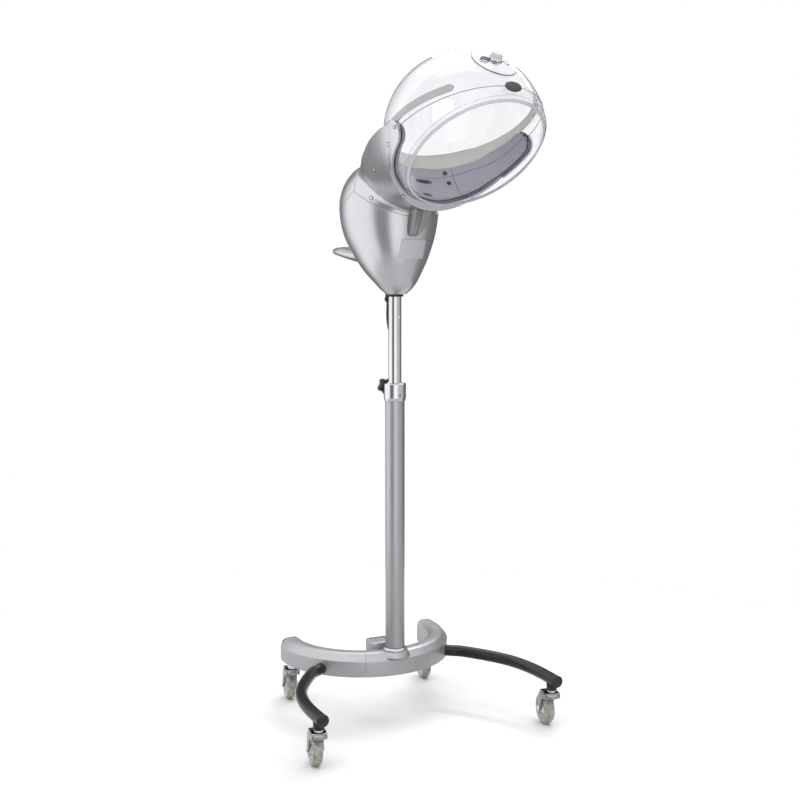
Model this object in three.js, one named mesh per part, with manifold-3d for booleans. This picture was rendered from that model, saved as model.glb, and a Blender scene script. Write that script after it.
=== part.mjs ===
// Salon steamer: a clear hood on a height-adjustable stand with four casters.
// Millimetres, +Z up. The front of the stand is -Y, and its left side is -X.
// The column axis is X = 0, Y = 0 while the pieces are made. At the end the whole
// object is moved so that its origin is the bottom centre of its bounding box.
import * as THREE from 'three';
import { mergeVertices } from 'three/addons/utils/BufferGeometryUtils.js';
import Module from 'manifold-3d';

// ---------------------------------------------------------------- driving dimensions
const GAP = 0.3;                  // left between pieces that touch
const HEAD_YAW = 9.5;             // the head stands turned a little from the stand, degrees

const WHEEL_RADIUS = 33.5;
const WHEEL_WIDTH = 21;
const CASTER_TRAIL = 35;          // axle behind the swivel axis
const CASTER_YAW = -10;           // the casters rest swivelled, degrees
const CASTER_TOP = 84;            // underside of the boss that holds the caster stem
const FRONT_CASTER = { x: 267, y: -214 };
const REAR_CASTER = { x: 172, y: 177.5 };

const SHOE_CENTRE_Y = 172;        // centre of the horseshoe base, behind the column
const SHOE_RADIUS = 172;          // to the middle of its band
const SHOE_WIDTH = 46;
const SHOE_BOTTOM = 98;
const SHOE_TOP = 148;
const SHOE_ARM_END_Y = 190;
const SHOE_WALL = 3;
const SHOE_SEAM_ANGLE = 22;       // seams of the middle cover, degrees from straight ahead
const LEG_ANGLE = 52;             // legs leave the base here, degrees from straight ahead
const LEG_RADIUS = 12.5;
const LEG_ROOT_HEIGHT = 112;
const LEG_END_HEIGHT = 107;
const LEG_END_Y = -233;
const CASTER_BOSS_RADIUS = 11;
const CASTER_BOSS_HEIGHT = 20;

const COLUMN_RADIUS = 21;
const COLUMN_WALL = 2;
const COLLAR_BOTTOM = 694;
const COLLAR_TOP = 732;
const COLLAR_RADIUS = 24;
const MAST_RADIUS = 14;
const MAST_BOTTOM = 430;
const MAST_TOP = 1030;
const CLAMP_HEIGHT = 722;
const STOP_PIN_HEIGHT = 874;
const LEAD_RADIUS = 3;

const BODY_WALL = 4;
const HOOD_CENTRE = { y: -240, z: 1244 };
const DOME_RADIUS = 161;          // outside of the clear dome
const DOME_WALL = 3;
const OPENING_TILT = 50.5;        // the opening faces forward and this far down, degrees
const SEAM_ANGLE = 27;            // the dome meets the visor here, degrees about the pivot axis
const VISOR_REAR_ANGLE = -136;
const CRADLE_INNER = 165.5;
const CRADLE_OUTER = 171;
const CRADLE_FRONT_ANGLE = -125;  // edges of the cradle, degrees about the pivot axis
const CRADLE_REAR_ANGLE = -172;
const LINER_REAR_ANGLE = -156;
const DOME_REAR_ANGLE = -160;
const LINER_INNER = 150;
const LINER_OUTER = 154;
const BAND_AXIS_ANGLE = 114.2;    // the steam band is a ring about this direction
const BAND_POLAR = 80.8;
const BAND_WIDTH = 16;
const SPOUT_WIDTH = 26;
const SPOUT_SIDE_SHIFT = 12;      // the spout sits a little to the left
const PAD_ANGLE = 25;
const PAD_SIDE_ANGLE = -1.7;      // towards the left
const VENT_ANGLE = 52;
const VENT_SIDE_ANGLE = -2;
const VENT_RADIUS = 46;

// Widest outline of the body at each height: [z, half width, half depth, centre y]
const BODY_SECTIONS = [
  [924, 20, 22, -4], [934, 31, 35, -3.5], [948, 42, 48, -1.5], [969, 56, 64, 5.5],
  [991, 68, 78, 10.5], [1016, 79, 91, 15], [1041, 88.5, 102, 19.5], [1066, 95, 109, 22],
  [1091, 98.5, 113, 23], [1120, 98.5, 114, 24], [1145, 95, 108, 23], [1168, 87, 97, 20],
  [1190, 72, 79, 15], [1203, 50, 54, 11], [1209, 26, 28, 9],
];

// ---------------------------------------------------------------- materials
function finish(color, roughness, metalness, opacity = 1) {
  return new THREE.MeshStandardMaterial({
    color, roughness, metalness, opacity, transparent: opacity < 1,
  });
}
const SILVER = finish(0xc9cacd, 0.38, 0.35);
const DARK_SILVER = finish(0x9c9da1, 0.45, 0.3);
const LAVENDER = finish(0x9a9aa6, 0.5, 0.1);
const BLACK = finish(0x18181a, 0.3, 0.0);
const CHROME = finish(0xd8d8da, 0.12, 1.0);
const STEEL = finish(0x9b9da0, 0.4, 0.9);
const CLEAR = finish(0xeef1f3, 0.05, 0.0, 0.3);
const BAND = finish(0xc4c2bc, 0.5, 0.0, 0.8);
const TYRE = finish(0xa3a294, 0.3, 0.0, 0.85);
const PAD = finish(0x3a3431, 0.5, 0.0);
const LABEL = finish(0xb4b6b8, 0.5, 0.1);
const COPPER = finish(0xb87333, 0.4, 1.0);

// ---------------------------------------------------------------- joining and cutting
const wasm = await Module();
wasm.setup();

function solid(geometry) {
  const bare = geometry.index ? geometry.clone() : mergeVertices(geometry.clone());
  for (const name of Object.keys(bare.attributes)) {
    if (name !== 'position') bare.deleteAttribute(name);
  }
  const merged = mergeVertices(bare, 1e-4);
  return new wasm.Manifold(new wasm.Mesh({
    numProp: 3,
    vertProperties: new Float32Array(merged.attributes.position.array),
    triVerts: new Uint32Array(merged.index.array),
  }));
}

function geometryOf(manifold) {
  const mesh = manifold.getMesh();
  const geometry = new THREE.BufferGeometry();
  geometry.setAttribute('position', new THREE.BufferAttribute(mesh.vertProperties.slice(), 3));
  geometry.setIndex(new THREE.BufferAttribute(mesh.triVerts.slice(), 1));
  geometry.computeVertexNormals();
  return geometry;
}

function joined(...parts) {
  return parts.reduce((all, part) => all.add(part));
}

function cut(base, ...tools) {
  return tools.reduce((rest, tool) => rest.subtract(tool), base);
}

// ---------------------------------------------------------------- shape makers
const degrees = (angle) => THREE.MathUtils.degToRad(angle);

// A closed skin over rings of equal point count; outline is the ring's flat shape.
function loft(rings, outline) {
  const count = outline.length;
  const positions = rings.flat().flatMap((point) => [point.x, point.y, point.z]);
  const triangles = [];
  for (let ring = 0; ring < rings.length - 1; ring += 1) {
    for (let i = 0; i < count; i += 1) {
      const a = ring * count + i;
      const b = ring * count + ((i + 1) % count);
      triangles.push(a, b, b + count, a, b + count, a + count);
    }
  }
  const last = (rings.length - 1) * count;
  const area = THREE.ShapeUtils.area(outline);
  for (const face of THREE.ShapeUtils.triangulateShape(outline, [])) {
    const [a, b, c] = area > 0 ? face : [face[0], face[2], face[1]];
    triangles.push(a, c, b, last + a, last + b, last + c);
  }
  const geometry = new THREE.BufferGeometry();
  geometry.setAttribute('position', new THREE.Float32BufferAttribute(positions, 3));
  geometry.setIndex(triangles);
  return facingOut(geometry);
}

function facingOut(geometry) {
  const position = geometry.attributes.position;
  const index = geometry.index.array;
  const corner = (i) => new THREE.Vector3().fromBufferAttribute(position, index[i]);
  let volume = 0;
  for (let i = 0; i < index.length; i += 3) {
    volume += corner(i).dot(corner(i + 1).cross(corner(i + 2)));
  }
  if (volume < 0) {
    for (let i = 0; i < index.length; i += 3) {
      [index[i + 1], index[i + 2]] = [index[i + 2], index[i + 1]];
    }
  }
  geometry.computeVertexNormals();
  return geometry;
}

function ellipseOutline(count, power = 2) {
  return Array.from({ length: count }, (_, i) => {
    const angle = (2 * Math.PI * i) / count;
    const c = Math.cos(angle);
    const s = Math.sin(angle);
    return new THREE.Vector2(
      Math.sign(c) * Math.abs(c) ** (2 / power),
      Math.sign(s) * Math.abs(s) ** (2 / power),
    );
  });
}

// A turned piece: profile is a closed list of [radius, height], axis along +Z.
function turned(profile, segments = 28) {
  const points = [...profile, profile[0]].map(([r, z]) => new THREE.Vector2(r, z));
  const geometry = new THREE.LatheGeometry(points, segments);
  geometry.rotateX(Math.PI / 2);
  return facingOut(mergeBare(geometry));
}

function mergeBare(geometry) {
  geometry.deleteAttribute('normal');
  geometry.deleteAttribute('uv');
  const merged = mergeVertices(geometry, 1e-4);
  const kept = [];
  const index = merged.index.array;
  for (let i = 0; i < index.length; i += 3) {
    const [a, b, c] = index.slice(i, i + 3);
    if (a !== b && b !== c && c !== a) kept.push(a, b, c);
  }
  merged.setIndex(kept);
  return merged;
}

function pipe(outer, inner, bottom, top, segments = 24) {
  return turned([[inner, bottom], [outer, bottom], [outer, top], [inner, top]], segments);
}

function rod(radius, bottom, top, segments = 16) {
  const geometry = new THREE.CylinderGeometry(radius, radius, top - bottom, segments);
  geometry.rotateX(Math.PI / 2);
  geometry.translate(0, 0, (top + bottom) / 2);
  return mergeBare(geometry);
}

function box(x0, x1, y0, y1, z0, z1) {
  const geometry = new THREE.BoxGeometry(x1 - x0, y1 - y0, z1 - z0);
  geometry.translate((x0 + x1) / 2, (y0 + y1) / 2, (z0 + z1) / 2);
  return geometry;
}

function ball(radius, segments) {
  const geometry = new THREE.SphereGeometry(radius, segments, segments / 2);
  geometry.rotateZ(Math.PI / segments);
  return mergeBare(geometry);
}

// Everything below (or above) a plane through (0, y, z) that rises towards +Y by angle.
function halfSpace(y, z, angle, above) {
  const reach = 900;
  const geometry = box(-reach, reach, -reach, reach, 0, reach);
  if (!above) geometry.rotateX(Math.PI);
  geometry.rotateX(degrees(angle));
  geometry.translate(0, y, z);
  return solid(geometry);
}

const object = new THREE.Group();
const head = new THREE.Group();
head.rotation.z = degrees(HEAD_YAW);
object.add(head);

function place(parent, name, shape, material) {
  const geometry = shape.isBufferGeometry ? shape : geometryOf(shape);
  const mesh = new THREE.Mesh(geometry, material);
  mesh.name = name;
  parent.add(mesh);
  return mesh;
}

// ---------------------------------------------------------------- casters
const FORK_HEAD_RADIUS = 15;
const FORK_BOTTOM = 67;
const FORK_TOP = 79;
const FORK_INSIDE = 12.5;
const FORK_OUTSIDE = 15.5;
const AXLE_RADIUS = 4;
const STEM_RADIUS = 5;

function wheelShape() {
  const segments = 20;
  const rim = WHEEL_RADIUS / Math.cos(Math.PI / segments);
  const half = WHEEL_WIDTH / 2;
  const geometry = turned([
    [AXLE_RADIUS + GAP, -half], [9, -half], [20, -half + 3], [rim - 6, -half],
    [rim, -half + 7], [rim, half - 7],
    [rim - 6, half], [20, half - 3], [9, half], [AXLE_RADIUS + GAP, half],
  ], segments);
  geometry.rotateZ(Math.PI / segments);
  geometry.rotateY(Math.PI / 2);
  return geometry;
}

function forkShape() {
  const side = new THREE.Shape([
    new THREE.Vector2(-12, FORK_TOP), new THREE.Vector2(44, FORK_TOP),
    new THREE.Vector2(47, 62), new THREE.Vector2(42, 27), new THREE.Vector2(28, 27),
    new THREE.Vector2(-12, FORK_BOTTOM),
  ]);
  const plank = new THREE.ExtrudeGeometry(side, { depth: 2 * FORK_OUTSIDE, bevelEnabled: false });
  plank.rotateX(Math.PI / 2);
  plank.rotateZ(Math.PI / 2);
  plank.translate(-FORK_OUTSIDE, 0, 0);
  const fork = joined(solid(plank), solid(rod(FORK_HEAD_RADIUS, FORK_BOTTOM, FORK_TOP)));
  const space = solid(box(-FORK_INSIDE, FORK_INSIDE, -20, 60, 0, FORK_BOTTOM + 2));
  const stemHole = solid(rod(STEM_RADIUS + GAP, 60, 90));
  const axleHole = rod(AXLE_RADIUS + GAP, -30, 30, 12);
  axleHole.rotateY(Math.PI / 2);
  axleHole.translate(0, CASTER_TRAIL, WHEEL_RADIUS);
  return cut(fork, space, stemHole, solid(axleHole));
}

function caster(name, spot) {
  const group = new THREE.Group();
  group.position.set(spot.x, spot.y, 0);
  group.rotation.z = degrees(CASTER_YAW);
  object.add(group);
  place(group, `${name}_stem`, turned([
    [0, FORK_BOTTOM + 3], [STEM_RADIUS, FORK_BOTTOM + 3], [STEM_RADIUS, FORK_TOP + 0.6],
    [9, FORK_TOP + 0.6], [9, CASTER_TOP - GAP], [STEM_RADIUS, CASTER_TOP - GAP],
    [STEM_RADIUS, CASTER_TOP + 8], [0, CASTER_TOP + 8],
  ], 12), STEEL);
  place(group, `${name}_fork`, forkShape(), CHROME);
  const wheel = place(group, `${name}_wheel`, wheelShape(), TYRE);
  wheel.position.set(0, CASTER_TRAIL, WHEEL_RADIUS);
  const axleEnd = FORK_OUTSIDE + GAP;
  const axle = turned([
    [0, -axleEnd - 2.5], [6.5, -axleEnd - 2.5], [6.5, -axleEnd], [AXLE_RADIUS, -axleEnd],
    [AXLE_RADIUS, axleEnd], [6.5, axleEnd], [6.5, axleEnd + 2.5], [0, axleEnd + 2.5],
  ], 12);
  axle.rotateY(Math.PI / 2);
  place(group, `${name}_axle`, axle, STEEL).position.copy(wheel.position);
}

caster('caster_front_left', { x: -FRONT_CASTER.x, y: FRONT_CASTER.y });
caster('caster_front_right', FRONT_CASTER);
caster('caster_rear_left', { x: -REAR_CASTER.x, y: REAR_CASTER.y });
caster('caster_rear_right', REAR_CASTER);

// ---------------------------------------------------------------- horseshoe base
// A station of the band: its middle point and the direction across it, outwards. The band
// turns through armAngle each way and then runs straight back to the arm ends.
const armAngle = 90;
const PAST_ARM_ENDS = armAngle + 10;
function shoeStations(from, to) {
  const stations = [];
  const step = 8;
  if (from < -armAngle) {
    stations.push({ x: -SHOE_RADIUS, y: SHOE_ARM_END_Y, angle: -armAngle });
  }
  const start = Math.max(from, -armAngle);
  const end = Math.min(to, armAngle);
  const count = Math.ceil((end - start) / step);
  for (let i = 0; i <= count; i += 1) {
    const angle = start + ((end - start) * i) / count;
    stations.push({
      x: SHOE_RADIUS * Math.sin(degrees(angle)),
      y: SHOE_CENTRE_Y - SHOE_RADIUS * Math.cos(degrees(angle)),
      angle,
    });
  }
  if (to > armAngle) {
    stations.push({ x: SHOE_RADIUS, y: SHOE_ARM_END_Y, angle: armAngle });
  }
  return stations;
}

function alongShoe(section, from, to) {
  const rings = shoeStations(from, to).map(({ x, y, angle }) => section.map((point) => (
    new THREE.Vector3(
      x + point.x * Math.sin(degrees(angle)),
      y - point.x * Math.cos(degrees(angle)),
      point.y,
    ))));
  return loft(rings, section);
}

// Half-width and top with round shoulders, as a channel that is open below.
function channelSection() {
  const half = SHOE_WIDTH / 2;
  const shoulder = 15;
  const steps = 3;
  const arc = (inset, reverse) => {
    const points = [];
    for (let side = -1; side <= 1; side += 2) {
      for (let i = 0; i <= steps; i += 1) {
        const turn = side < 0 ? i / steps : 1 - i / steps;
        const angle = (Math.PI / 2) * turn;
        const radius = shoulder - inset;
        points.push(new THREE.Vector2(
          side * (half - shoulder + radius * Math.cos(angle)),
          SHOE_TOP - shoulder + radius * Math.sin(angle),
        ));
      }
    }
    return reverse ? points.reverse() : points;
  };
  return [
    new THREE.Vector2(-half, SHOE_BOTTOM), ...arc(0, false), new THREE.Vector2(half, SHOE_BOTTOM),
    new THREE.Vector2(half - SHOE_WALL, SHOE_BOTTOM), ...arc(SHOE_WALL, true),
    new THREE.Vector2(-half + SHOE_WALL, SHOE_BOTTOM),
  ];
}

function legHole(side) {
  const hole = rod(LEG_RADIUS + GAP, SHOE_RADIUS + 5, SHOE_RADIUS + 60, 24);
  hole.rotateX(Math.PI / 2);
  hole.rotateZ(degrees(side * LEG_ANGLE));
  hole.translate(0, SHOE_CENTRE_Y, LEG_ROOT_HEIGHT);
  return solid(hole);
}

const PLATE_BOTTOM = 99;
const PLATE_TOP = 104;
const plateHalf = SHOE_WIDTH / 2 - SHOE_WALL - 1;
const plateSection = [
  new THREE.Vector2(-plateHalf, PLATE_BOTTOM), new THREE.Vector2(plateHalf, PLATE_BOTTOM),
  new THREE.Vector2(plateHalf, PLATE_TOP), new THREE.Vector2(-plateHalf, PLATE_TOP),
];
const POST_RADIUS = 17;
const POST_TOP = 210;

// The boss that holds a caster's stem, and the hole the stem sits in.
function casterBoss(spot, side) {
  const boss = rod(CASTER_BOSS_RADIUS, CASTER_TOP, CASTER_TOP + CASTER_BOSS_HEIGHT);
  boss.translate(side * spot.x, spot.y, 0);
  return solid(boss);
}

function stemHole(spot, side) {
  const hole = rod(STEM_RADIUS + GAP, CASTER_TOP - 1, CASTER_TOP + 10);
  hole.translate(side * spot.x, spot.y, 0);
  return solid(hole);
}

place(object, 'base_frame', cut(
  joined(
    solid(alongShoe(plateSection, -PAST_ARM_ENDS, PAST_ARM_ENDS)),
    casterBoss(REAR_CASTER, -1), casterBoss(REAR_CASTER, 1),
    solid(rod(POST_RADIUS, PLATE_BOTTOM, POST_TOP)),
  ),
  stemHole(REAR_CASTER, -1), stemHole(REAR_CASTER, 1),
), STEEL);

const seamGap = 0.12;               // degrees
const channel = channelSection();
place(object, 'base_cover_left', cut(
  solid(alongShoe(channel, -PAST_ARM_ENDS, -SHOE_SEAM_ANGLE - seamGap)), legHole(-1),
), SILVER);
place(object, 'base_cover_middle', cut(
  solid(alongShoe(channel, -SHOE_SEAM_ANGLE, SHOE_SEAM_ANGLE)),
  solid(rod(POST_RADIUS + 0.6, SHOE_BOTTOM, SHOE_TOP + 5)),
), SILVER);
place(object, 'base_cover_right', cut(
  solid(alongShoe(channel, SHOE_SEAM_ANGLE + seamGap, PAST_ARM_ENDS)), legHole(1),
), SILVER);

const CAP_THICKNESS = 3;
for (const [name, side] of [['base_end_cap_left', -1], ['base_end_cap_right', 1]]) {
  const half = SHOE_WIDTH / 2;
  const outline = channel.slice(0, channel.length / 2);
  const cap = loft([0, CAP_THICKNESS].map((depth) => outline.map((point) => new THREE.Vector3(
    side * SHOE_RADIUS + point.x * (half - 0.5) / half,
    SHOE_ARM_END_Y + GAP + depth,
    Math.min(point.y, SHOE_TOP - 0.5),
  ))), outline);
  place(object, name, cap, BLACK);
}

const BLOCK = { half: 38, front: 30, back: 78, bottom: PLATE_BOTTOM, top: 158 };
const inset = 6;
const padDepth = 4;
place(object, 'rear_block', cut(
  solid(box(-BLOCK.half, BLOCK.half, BLOCK.front, BLOCK.back, BLOCK.bottom, BLOCK.top)),
  solid(box(-BLOCK.half + inset, BLOCK.half - inset, BLOCK.front + inset, BLOCK.back - inset,
    BLOCK.top - padDepth, BLOCK.top + 1)),
), SILVER);
place(object, 'rear_block_pad', box(
  -BLOCK.half + inset + GAP, BLOCK.half - inset - GAP,
  BLOCK.front + inset + GAP, BLOCK.back - inset - GAP,
  BLOCK.top - padDepth + GAP, BLOCK.top - 1,
), DARK_SILVER);

// ---------------------------------------------------------------- legs
function legPath(side) {
  const from = SHOE_RADIUS + SHOE_WIDTH / 2 - 1;
  const angle = degrees(LEG_ANGLE);
  const at = (distance, z) => new THREE.Vector3(
    side * distance * Math.sin(angle), SHOE_CENTRE_Y - distance * Math.cos(angle), z);
  return new THREE.CatmullRomCurve3([
    at(from, LEG_ROOT_HEIGHT), at(from + 14, LEG_ROOT_HEIGHT), at(from + 42, LEG_ROOT_HEIGHT - 0.5),
    new THREE.Vector3(side * 224, -28, 111),
    new THREE.Vector3(side * 249, -75, 110),
    new THREE.Vector3(side * 262, -124, 109),
    new THREE.Vector3(side * FRONT_CASTER.x, -173, 108),
    new THREE.Vector3(side * FRONT_CASTER.x, LEG_END_Y, LEG_END_HEIGHT),
  ], false, 'centripetal');
}

function roundSection(radius, sides) {
  return new THREE.Shape(ellipseOutline(sides).map((point) => point.multiplyScalar(radius)));
}

for (const [name, side] of [['leg_left', -1], ['leg_right', 1]]) {
  const tube = new THREE.ExtrudeGeometry(roundSection(LEG_RADIUS, 12), {
    steps: 18, extrudePath: legPath(side), bevelEnabled: false,
  });
  place(object, name, cut(
    joined(solid(facingOut(mergeBare(tube))), casterBoss(FRONT_CASTER, side)),
    stemHole(FRONT_CASTER, side),
  ), BLACK);
  const cap = turned([
    [0, 0], [LEG_RADIUS + 0.4, 0], [LEG_RADIUS + 0.4, 3], [LEG_RADIUS - 2, 5],
    [LEG_RADIUS - 4, 5], [LEG_RADIUS - 6, 3.4], [0, 3.4],
  ], 16);
  cap.rotateX(Math.PI / 2);
  cap.translate(side * FRONT_CASTER.x, LEG_END_Y - GAP, LEG_END_HEIGHT);
  place(object, name.replace('leg', 'leg_cap'), cap, BLACK);
}

// ---------------------------------------------------------------- column and clamp
const COLUMN_BOTTOM = SHOE_TOP + GAP;
const COLUMN_TOP = COLLAR_TOP - 6;
const COLUMN_INNER = COLUMN_RADIUS - COLUMN_WALL;
place(object, 'column_tube', pipe(COLUMN_RADIUS, COLUMN_INNER, COLUMN_BOTTOM, COLUMN_TOP), SILVER);
const FLANGE_RADIUS = 26.3;
const FLANGE_HEIGHT = 7;
place(object, 'column_flange',
  pipe(FLANGE_RADIUS, COLUMN_RADIUS + GAP, COLUMN_BOTTOM, COLUMN_BOTTOM + FLANGE_HEIGHT), SILVER);
place(object, 'clamp_collar', turned([
  [COLUMN_RADIUS + GAP, COLLAR_BOTTOM], [COLUMN_RADIUS + 1.4, COLLAR_BOTTOM],
  [COLLAR_RADIUS, COLLAR_BOTTOM + 6], [COLLAR_RADIUS, COLLAR_TOP - 1.5],
  [COLLAR_RADIUS - 1.5, COLLAR_TOP], [MAST_RADIUS + 0.7, COLLAR_TOP],
  [MAST_RADIUS + 0.7, COLUMN_TOP + GAP], [COLUMN_RADIUS + GAP, COLUMN_TOP + GAP],
]), CHROME);
const setScrew = rod(3, COLLAR_RADIUS + 0.2, COLLAR_RADIUS + 1.6, 16);
setScrew.rotateX(Math.PI / 2);
setScrew.translate(0, 0, COLLAR_BOTTOM + 13);
place(object, 'collar_set_screw', setScrew, STEEL);

const KNOB = { start: 38, depth: 16, halfWidth: 8.5, halfLength: 19.5 };
const knobStem = rod(4, COLLAR_RADIUS + 0.4, KNOB.start, 16);
const knobHub = rod(9, KNOB.start - 5, KNOB.start + 2, 20);
const knobOutline = ellipseOutline(16, 3).map(
  (point) => new THREE.Vector2(point.x * KNOB.halfWidth, point.y * KNOB.halfLength));
const knobBar = new THREE.ExtrudeGeometry(
  new THREE.Shape(knobOutline), { depth: KNOB.depth, bevelEnabled: false });
knobBar.translate(0, 0, KNOB.start);
const knob = geometryOf(joined(solid(knobStem), solid(knobHub), solid(mergeBare(knobBar))));
knob.rotateX(-Math.PI / 2);
knob.translate(0, 0, CLAMP_HEIGHT);
place(object, 'clamp_knob', knob, BLACK);

const GUIDE_BOTTOM = 655;
place(head, 'guide_bush',
  pipe(COLUMN_INNER - 0.5, MAST_RADIUS + 0.4, GUIDE_BOTTOM, COLUMN_TOP - 0.5), BLACK);

// ---------------------------------------------------------------- mast
const MAST_WALL = 1.5;
place(head, 'mast_tube',
  pipe(MAST_RADIUS, MAST_RADIUS - MAST_WALL, MAST_BOTTOM, MAST_TOP), CHROME);

function facingY(geometry, towards) {
  geometry.rotateX(towards < 0 ? Math.PI / 2 : -Math.PI / 2);
  return geometry;
}

const stopPin = facingY(rod(3, MAST_RADIUS + 0.2, MAST_RADIUS + 2, 16), -1);
stopPin.translate(0, 0, STOP_PIN_HEIGHT);
place(head, 'stop_pin', stopPin, STEEL);

const GROMMET_HEIGHT = 848;
const grommet = facingY(turned([
  [0, MAST_RADIUS + GAP], [6.5, MAST_RADIUS + GAP], [6.5, MAST_RADIUS + 2],
  [4.5, MAST_RADIUS + 4], [0, MAST_RADIUS + 4],
], 16), 1);
grommet.translate(0, 0, GROMMET_HEIGHT);
place(head, 'cable_grommet', grommet, BLACK);

// ---------------------------------------------------------------- body of the head
function bodySolid(offset) {
  const outline = ellipseOutline(28, 2.15);
  const lastRow = BODY_SECTIONS.length - 1;
  const rings = BODY_SECTIONS.map(([z, halfWidth, halfDepth, centre], row) => {
    const end = (row === 0 ? -offset : 0) + (row === lastRow ? offset : 0);
    return outline.map((point) => new THREE.Vector3(
      point.x * (halfWidth + offset), centre + point.y * (halfDepth + offset), z + end));
  });
  return solid(loft(rings, outline));
}

// Seams of the body: the skirt of the cradle, the rear top cover and the lower shell.
const SEAM_Y = 15;
const SEAM_Z = 1141;
const SKIRT_SLOPE = 27.9;
const REAR_SLOPE = -31.4;
const seamHalf = GAP / 2;
const body = bodySolid(0);
const hollow = bodySolid(-BODY_WALL);
const belowSkirt = halfSpace(SEAM_Y, SEAM_Z - seamHalf, SKIRT_SLOPE, false);
const belowRear = halfSpace(SEAM_Y, SEAM_Z - seamHalf, REAR_SLOPE, false);
const aboveSkirt = halfSpace(SEAM_Y, SEAM_Z + seamHalf, SKIRT_SLOPE, true);
const aboveRear = halfSpace(SEAM_Y, SEAM_Z + seamHalf, REAR_SLOPE, true);
const behindSeam = solid(box(-300, 300, SEAM_Y + seamHalf, 600, 600, 1500));
const beforeSeam = solid(box(-300, 300, -600, SEAM_Y - seamHalf, 600, 1500));
const mastHole = solid(rod(MAST_RADIUS + 0.5, 900, 1000));
const GLAND_Y = 27;
const GLAND_RADIUS = 5.4;
const glandHole = rod(GLAND_RADIUS + 0.4, 900, 960, 20);
glandHole.translate(0, GLAND_Y, 0);

const BODY_MIDDLE_Y = 22;
const shell = cut(body, hollow);
place(head, 'body_lower_shell',
  cut(shell.intersect(belowSkirt).intersect(belowRear), mastHole, solid(glandHole)), SILVER);
place(head, 'body_rear_cover', shell.intersect(aboveRear).intersect(behindSeam), SILVER);
place(head, 'bottom_ring', pipe(17, MAST_RADIUS + GAP, 919, 924 - GAP), BLACK);
place(head, 'mast_socket', pipe(24, MAST_RADIUS + GAP, 975, 1036), STEEL);
const boiler = turned([[0, 1042], [46, 1042], [52, 1048], [52, 1122], [40, 1132], [0, 1132]], 28);
boiler.translate(0, BODY_MIDDLE_Y, 0);
place(head, 'boiler', boiler, COPPER);

const gland = turned([
  [0, 905], [5, 905], [5, 909], [7, 910], [7, 916],
  [GLAND_RADIUS, 917], [GLAND_RADIUS, 950], [0, 950],
], 20);
gland.translate(0, GLAND_Y, 0);
place(head, 'lead_gland', gland, BLACK);

const LEAD_ROUTE = [
  [0, 27, 904.6], [0, 27.3, 895], [0, 27.8, 884], [0, 27.6, 873], [0, 26, 862.5],
  [0, 23.4, 853], [0, 21.4, 848.8], [0, 19.2, 848],
];
const leadPath = new THREE.CatmullRomCurve3(LEAD_ROUTE.map((point) => new THREE.Vector3(...point)));
const lead = new THREE.ExtrudeGeometry(roundSection(LEAD_RADIUS, 10), {
  steps: 12, extrudePath: leadPath, bevelEnabled: false,
});
place(head, 'head_lead', facingOut(mergeBare(lead)), BLACK);

// Rear handle: a flat paddle that points backwards.
const HANDLE_SECTIONS = [
  // y, half width, half thickness, centre z
  [70, 46, 17, 1006], [105, 44, 16, 1008], [140, 42, 14, 1012], [175, 39, 12, 1017],
  [197, 33, 10, 1019], [209, 22, 7, 1020], [214, 9, 4, 1020],
];
function acrossY(sections, outline) {
  return loft(sections.map(([y, half, thick, z]) => outline.map((point) => (
    new THREE.Vector3(point.x * half, y, z + point.y * thick)))), outline);
}
const bodyClearance = bodySolid(GAP);
place(head, 'rear_handle',
  cut(solid(acrossY(HANDLE_SECTIONS, ellipseOutline(24, 2.4))), bodyClearance), SILVER);

// Plain rating plate on the front right of the lower shell.
const plateZone = solid(box(-36, 24, -120, 0, 999, 1038));
place(head, 'rating_plate', cut(bodySolid(1.2), bodyClearance).intersect(plateZone), LABEL);

// ---------------------------------------------------------------- cradle and neck
const toHood = (manifold) => manifold.translate([0, HOOD_CENTRE.y, HOOD_CENTRE.z]);

// Half space on one side of a plane through the pivot axis, at an angle from straight ahead.
function pivotPlane(angle, above) {
  return halfSpace(HOOD_CENTRE.y, HOOD_CENTRE.z, -angle, above);
}

// The yoke: a wide scoop that grows out of the body and carries the hood at its two tips.
const YOKE_SECTIONS = [
  // y, half width, half height, centre z
  [15, 100, 138, 1244], [-25, 113, 144, 1244], [-55, 127, 147, 1244],
  [-100, 142, 148, 1244], [-150, 157, 150, 1244], [-200, 168, 158, 1244],
  [-252, 171, 168, 1244],
];
const YOKE_HOLLOW_FRONT = -215;
const YOKE_BEND = { y: -150, z: 1245 };
const YOKE_TIP_SLOPE = -4.5;
const YOKE_BACK_SLOPE = -23.5;
function yokeSolid(offset) {
  const sections = YOKE_SECTIONS.map(
    ([y, half, height, z]) => [y, half + offset, height + offset, z]);
  return solid(acrossY(sections, ellipseOutline(28)))
    .intersect(halfSpace(YOKE_BEND.y, YOKE_BEND.z + offset, YOKE_TIP_SLOPE, false))
    .intersect(halfSpace(YOKE_BEND.y, YOKE_BEND.z + offset, YOKE_BACK_SLOPE, false));
}
const CRADLE_FRONT = CRADLE_FRONT_ANGLE + 180;
const behindFrontEdge = pivotPlane(CRADLE_FRONT, true);
const PIVOT_BOSS = 12;
const PIN_RADIUS = 4;

function alongPivot(radius, from, to) {
  const geometry = rod(radius, from, to, 20);
  geometry.rotateY(Math.PI / 2);
  geometry.translate(0, HOOD_CENTRE.y, HOOD_CENTRE.z);
  return solid(geometry);
}

// A wedge of space between two planes through the pivot axis, round about the axis itself.
function wedge(frontAngle, rearAngle, boss) {
  const between = pivotPlane(frontAngle + 180, true)
    .intersect(pivotPlane(rearAngle + 180, false));
  return boss > 0 ? joined(between, alongPivot(boss, -200, 200)) : between;
}

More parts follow.
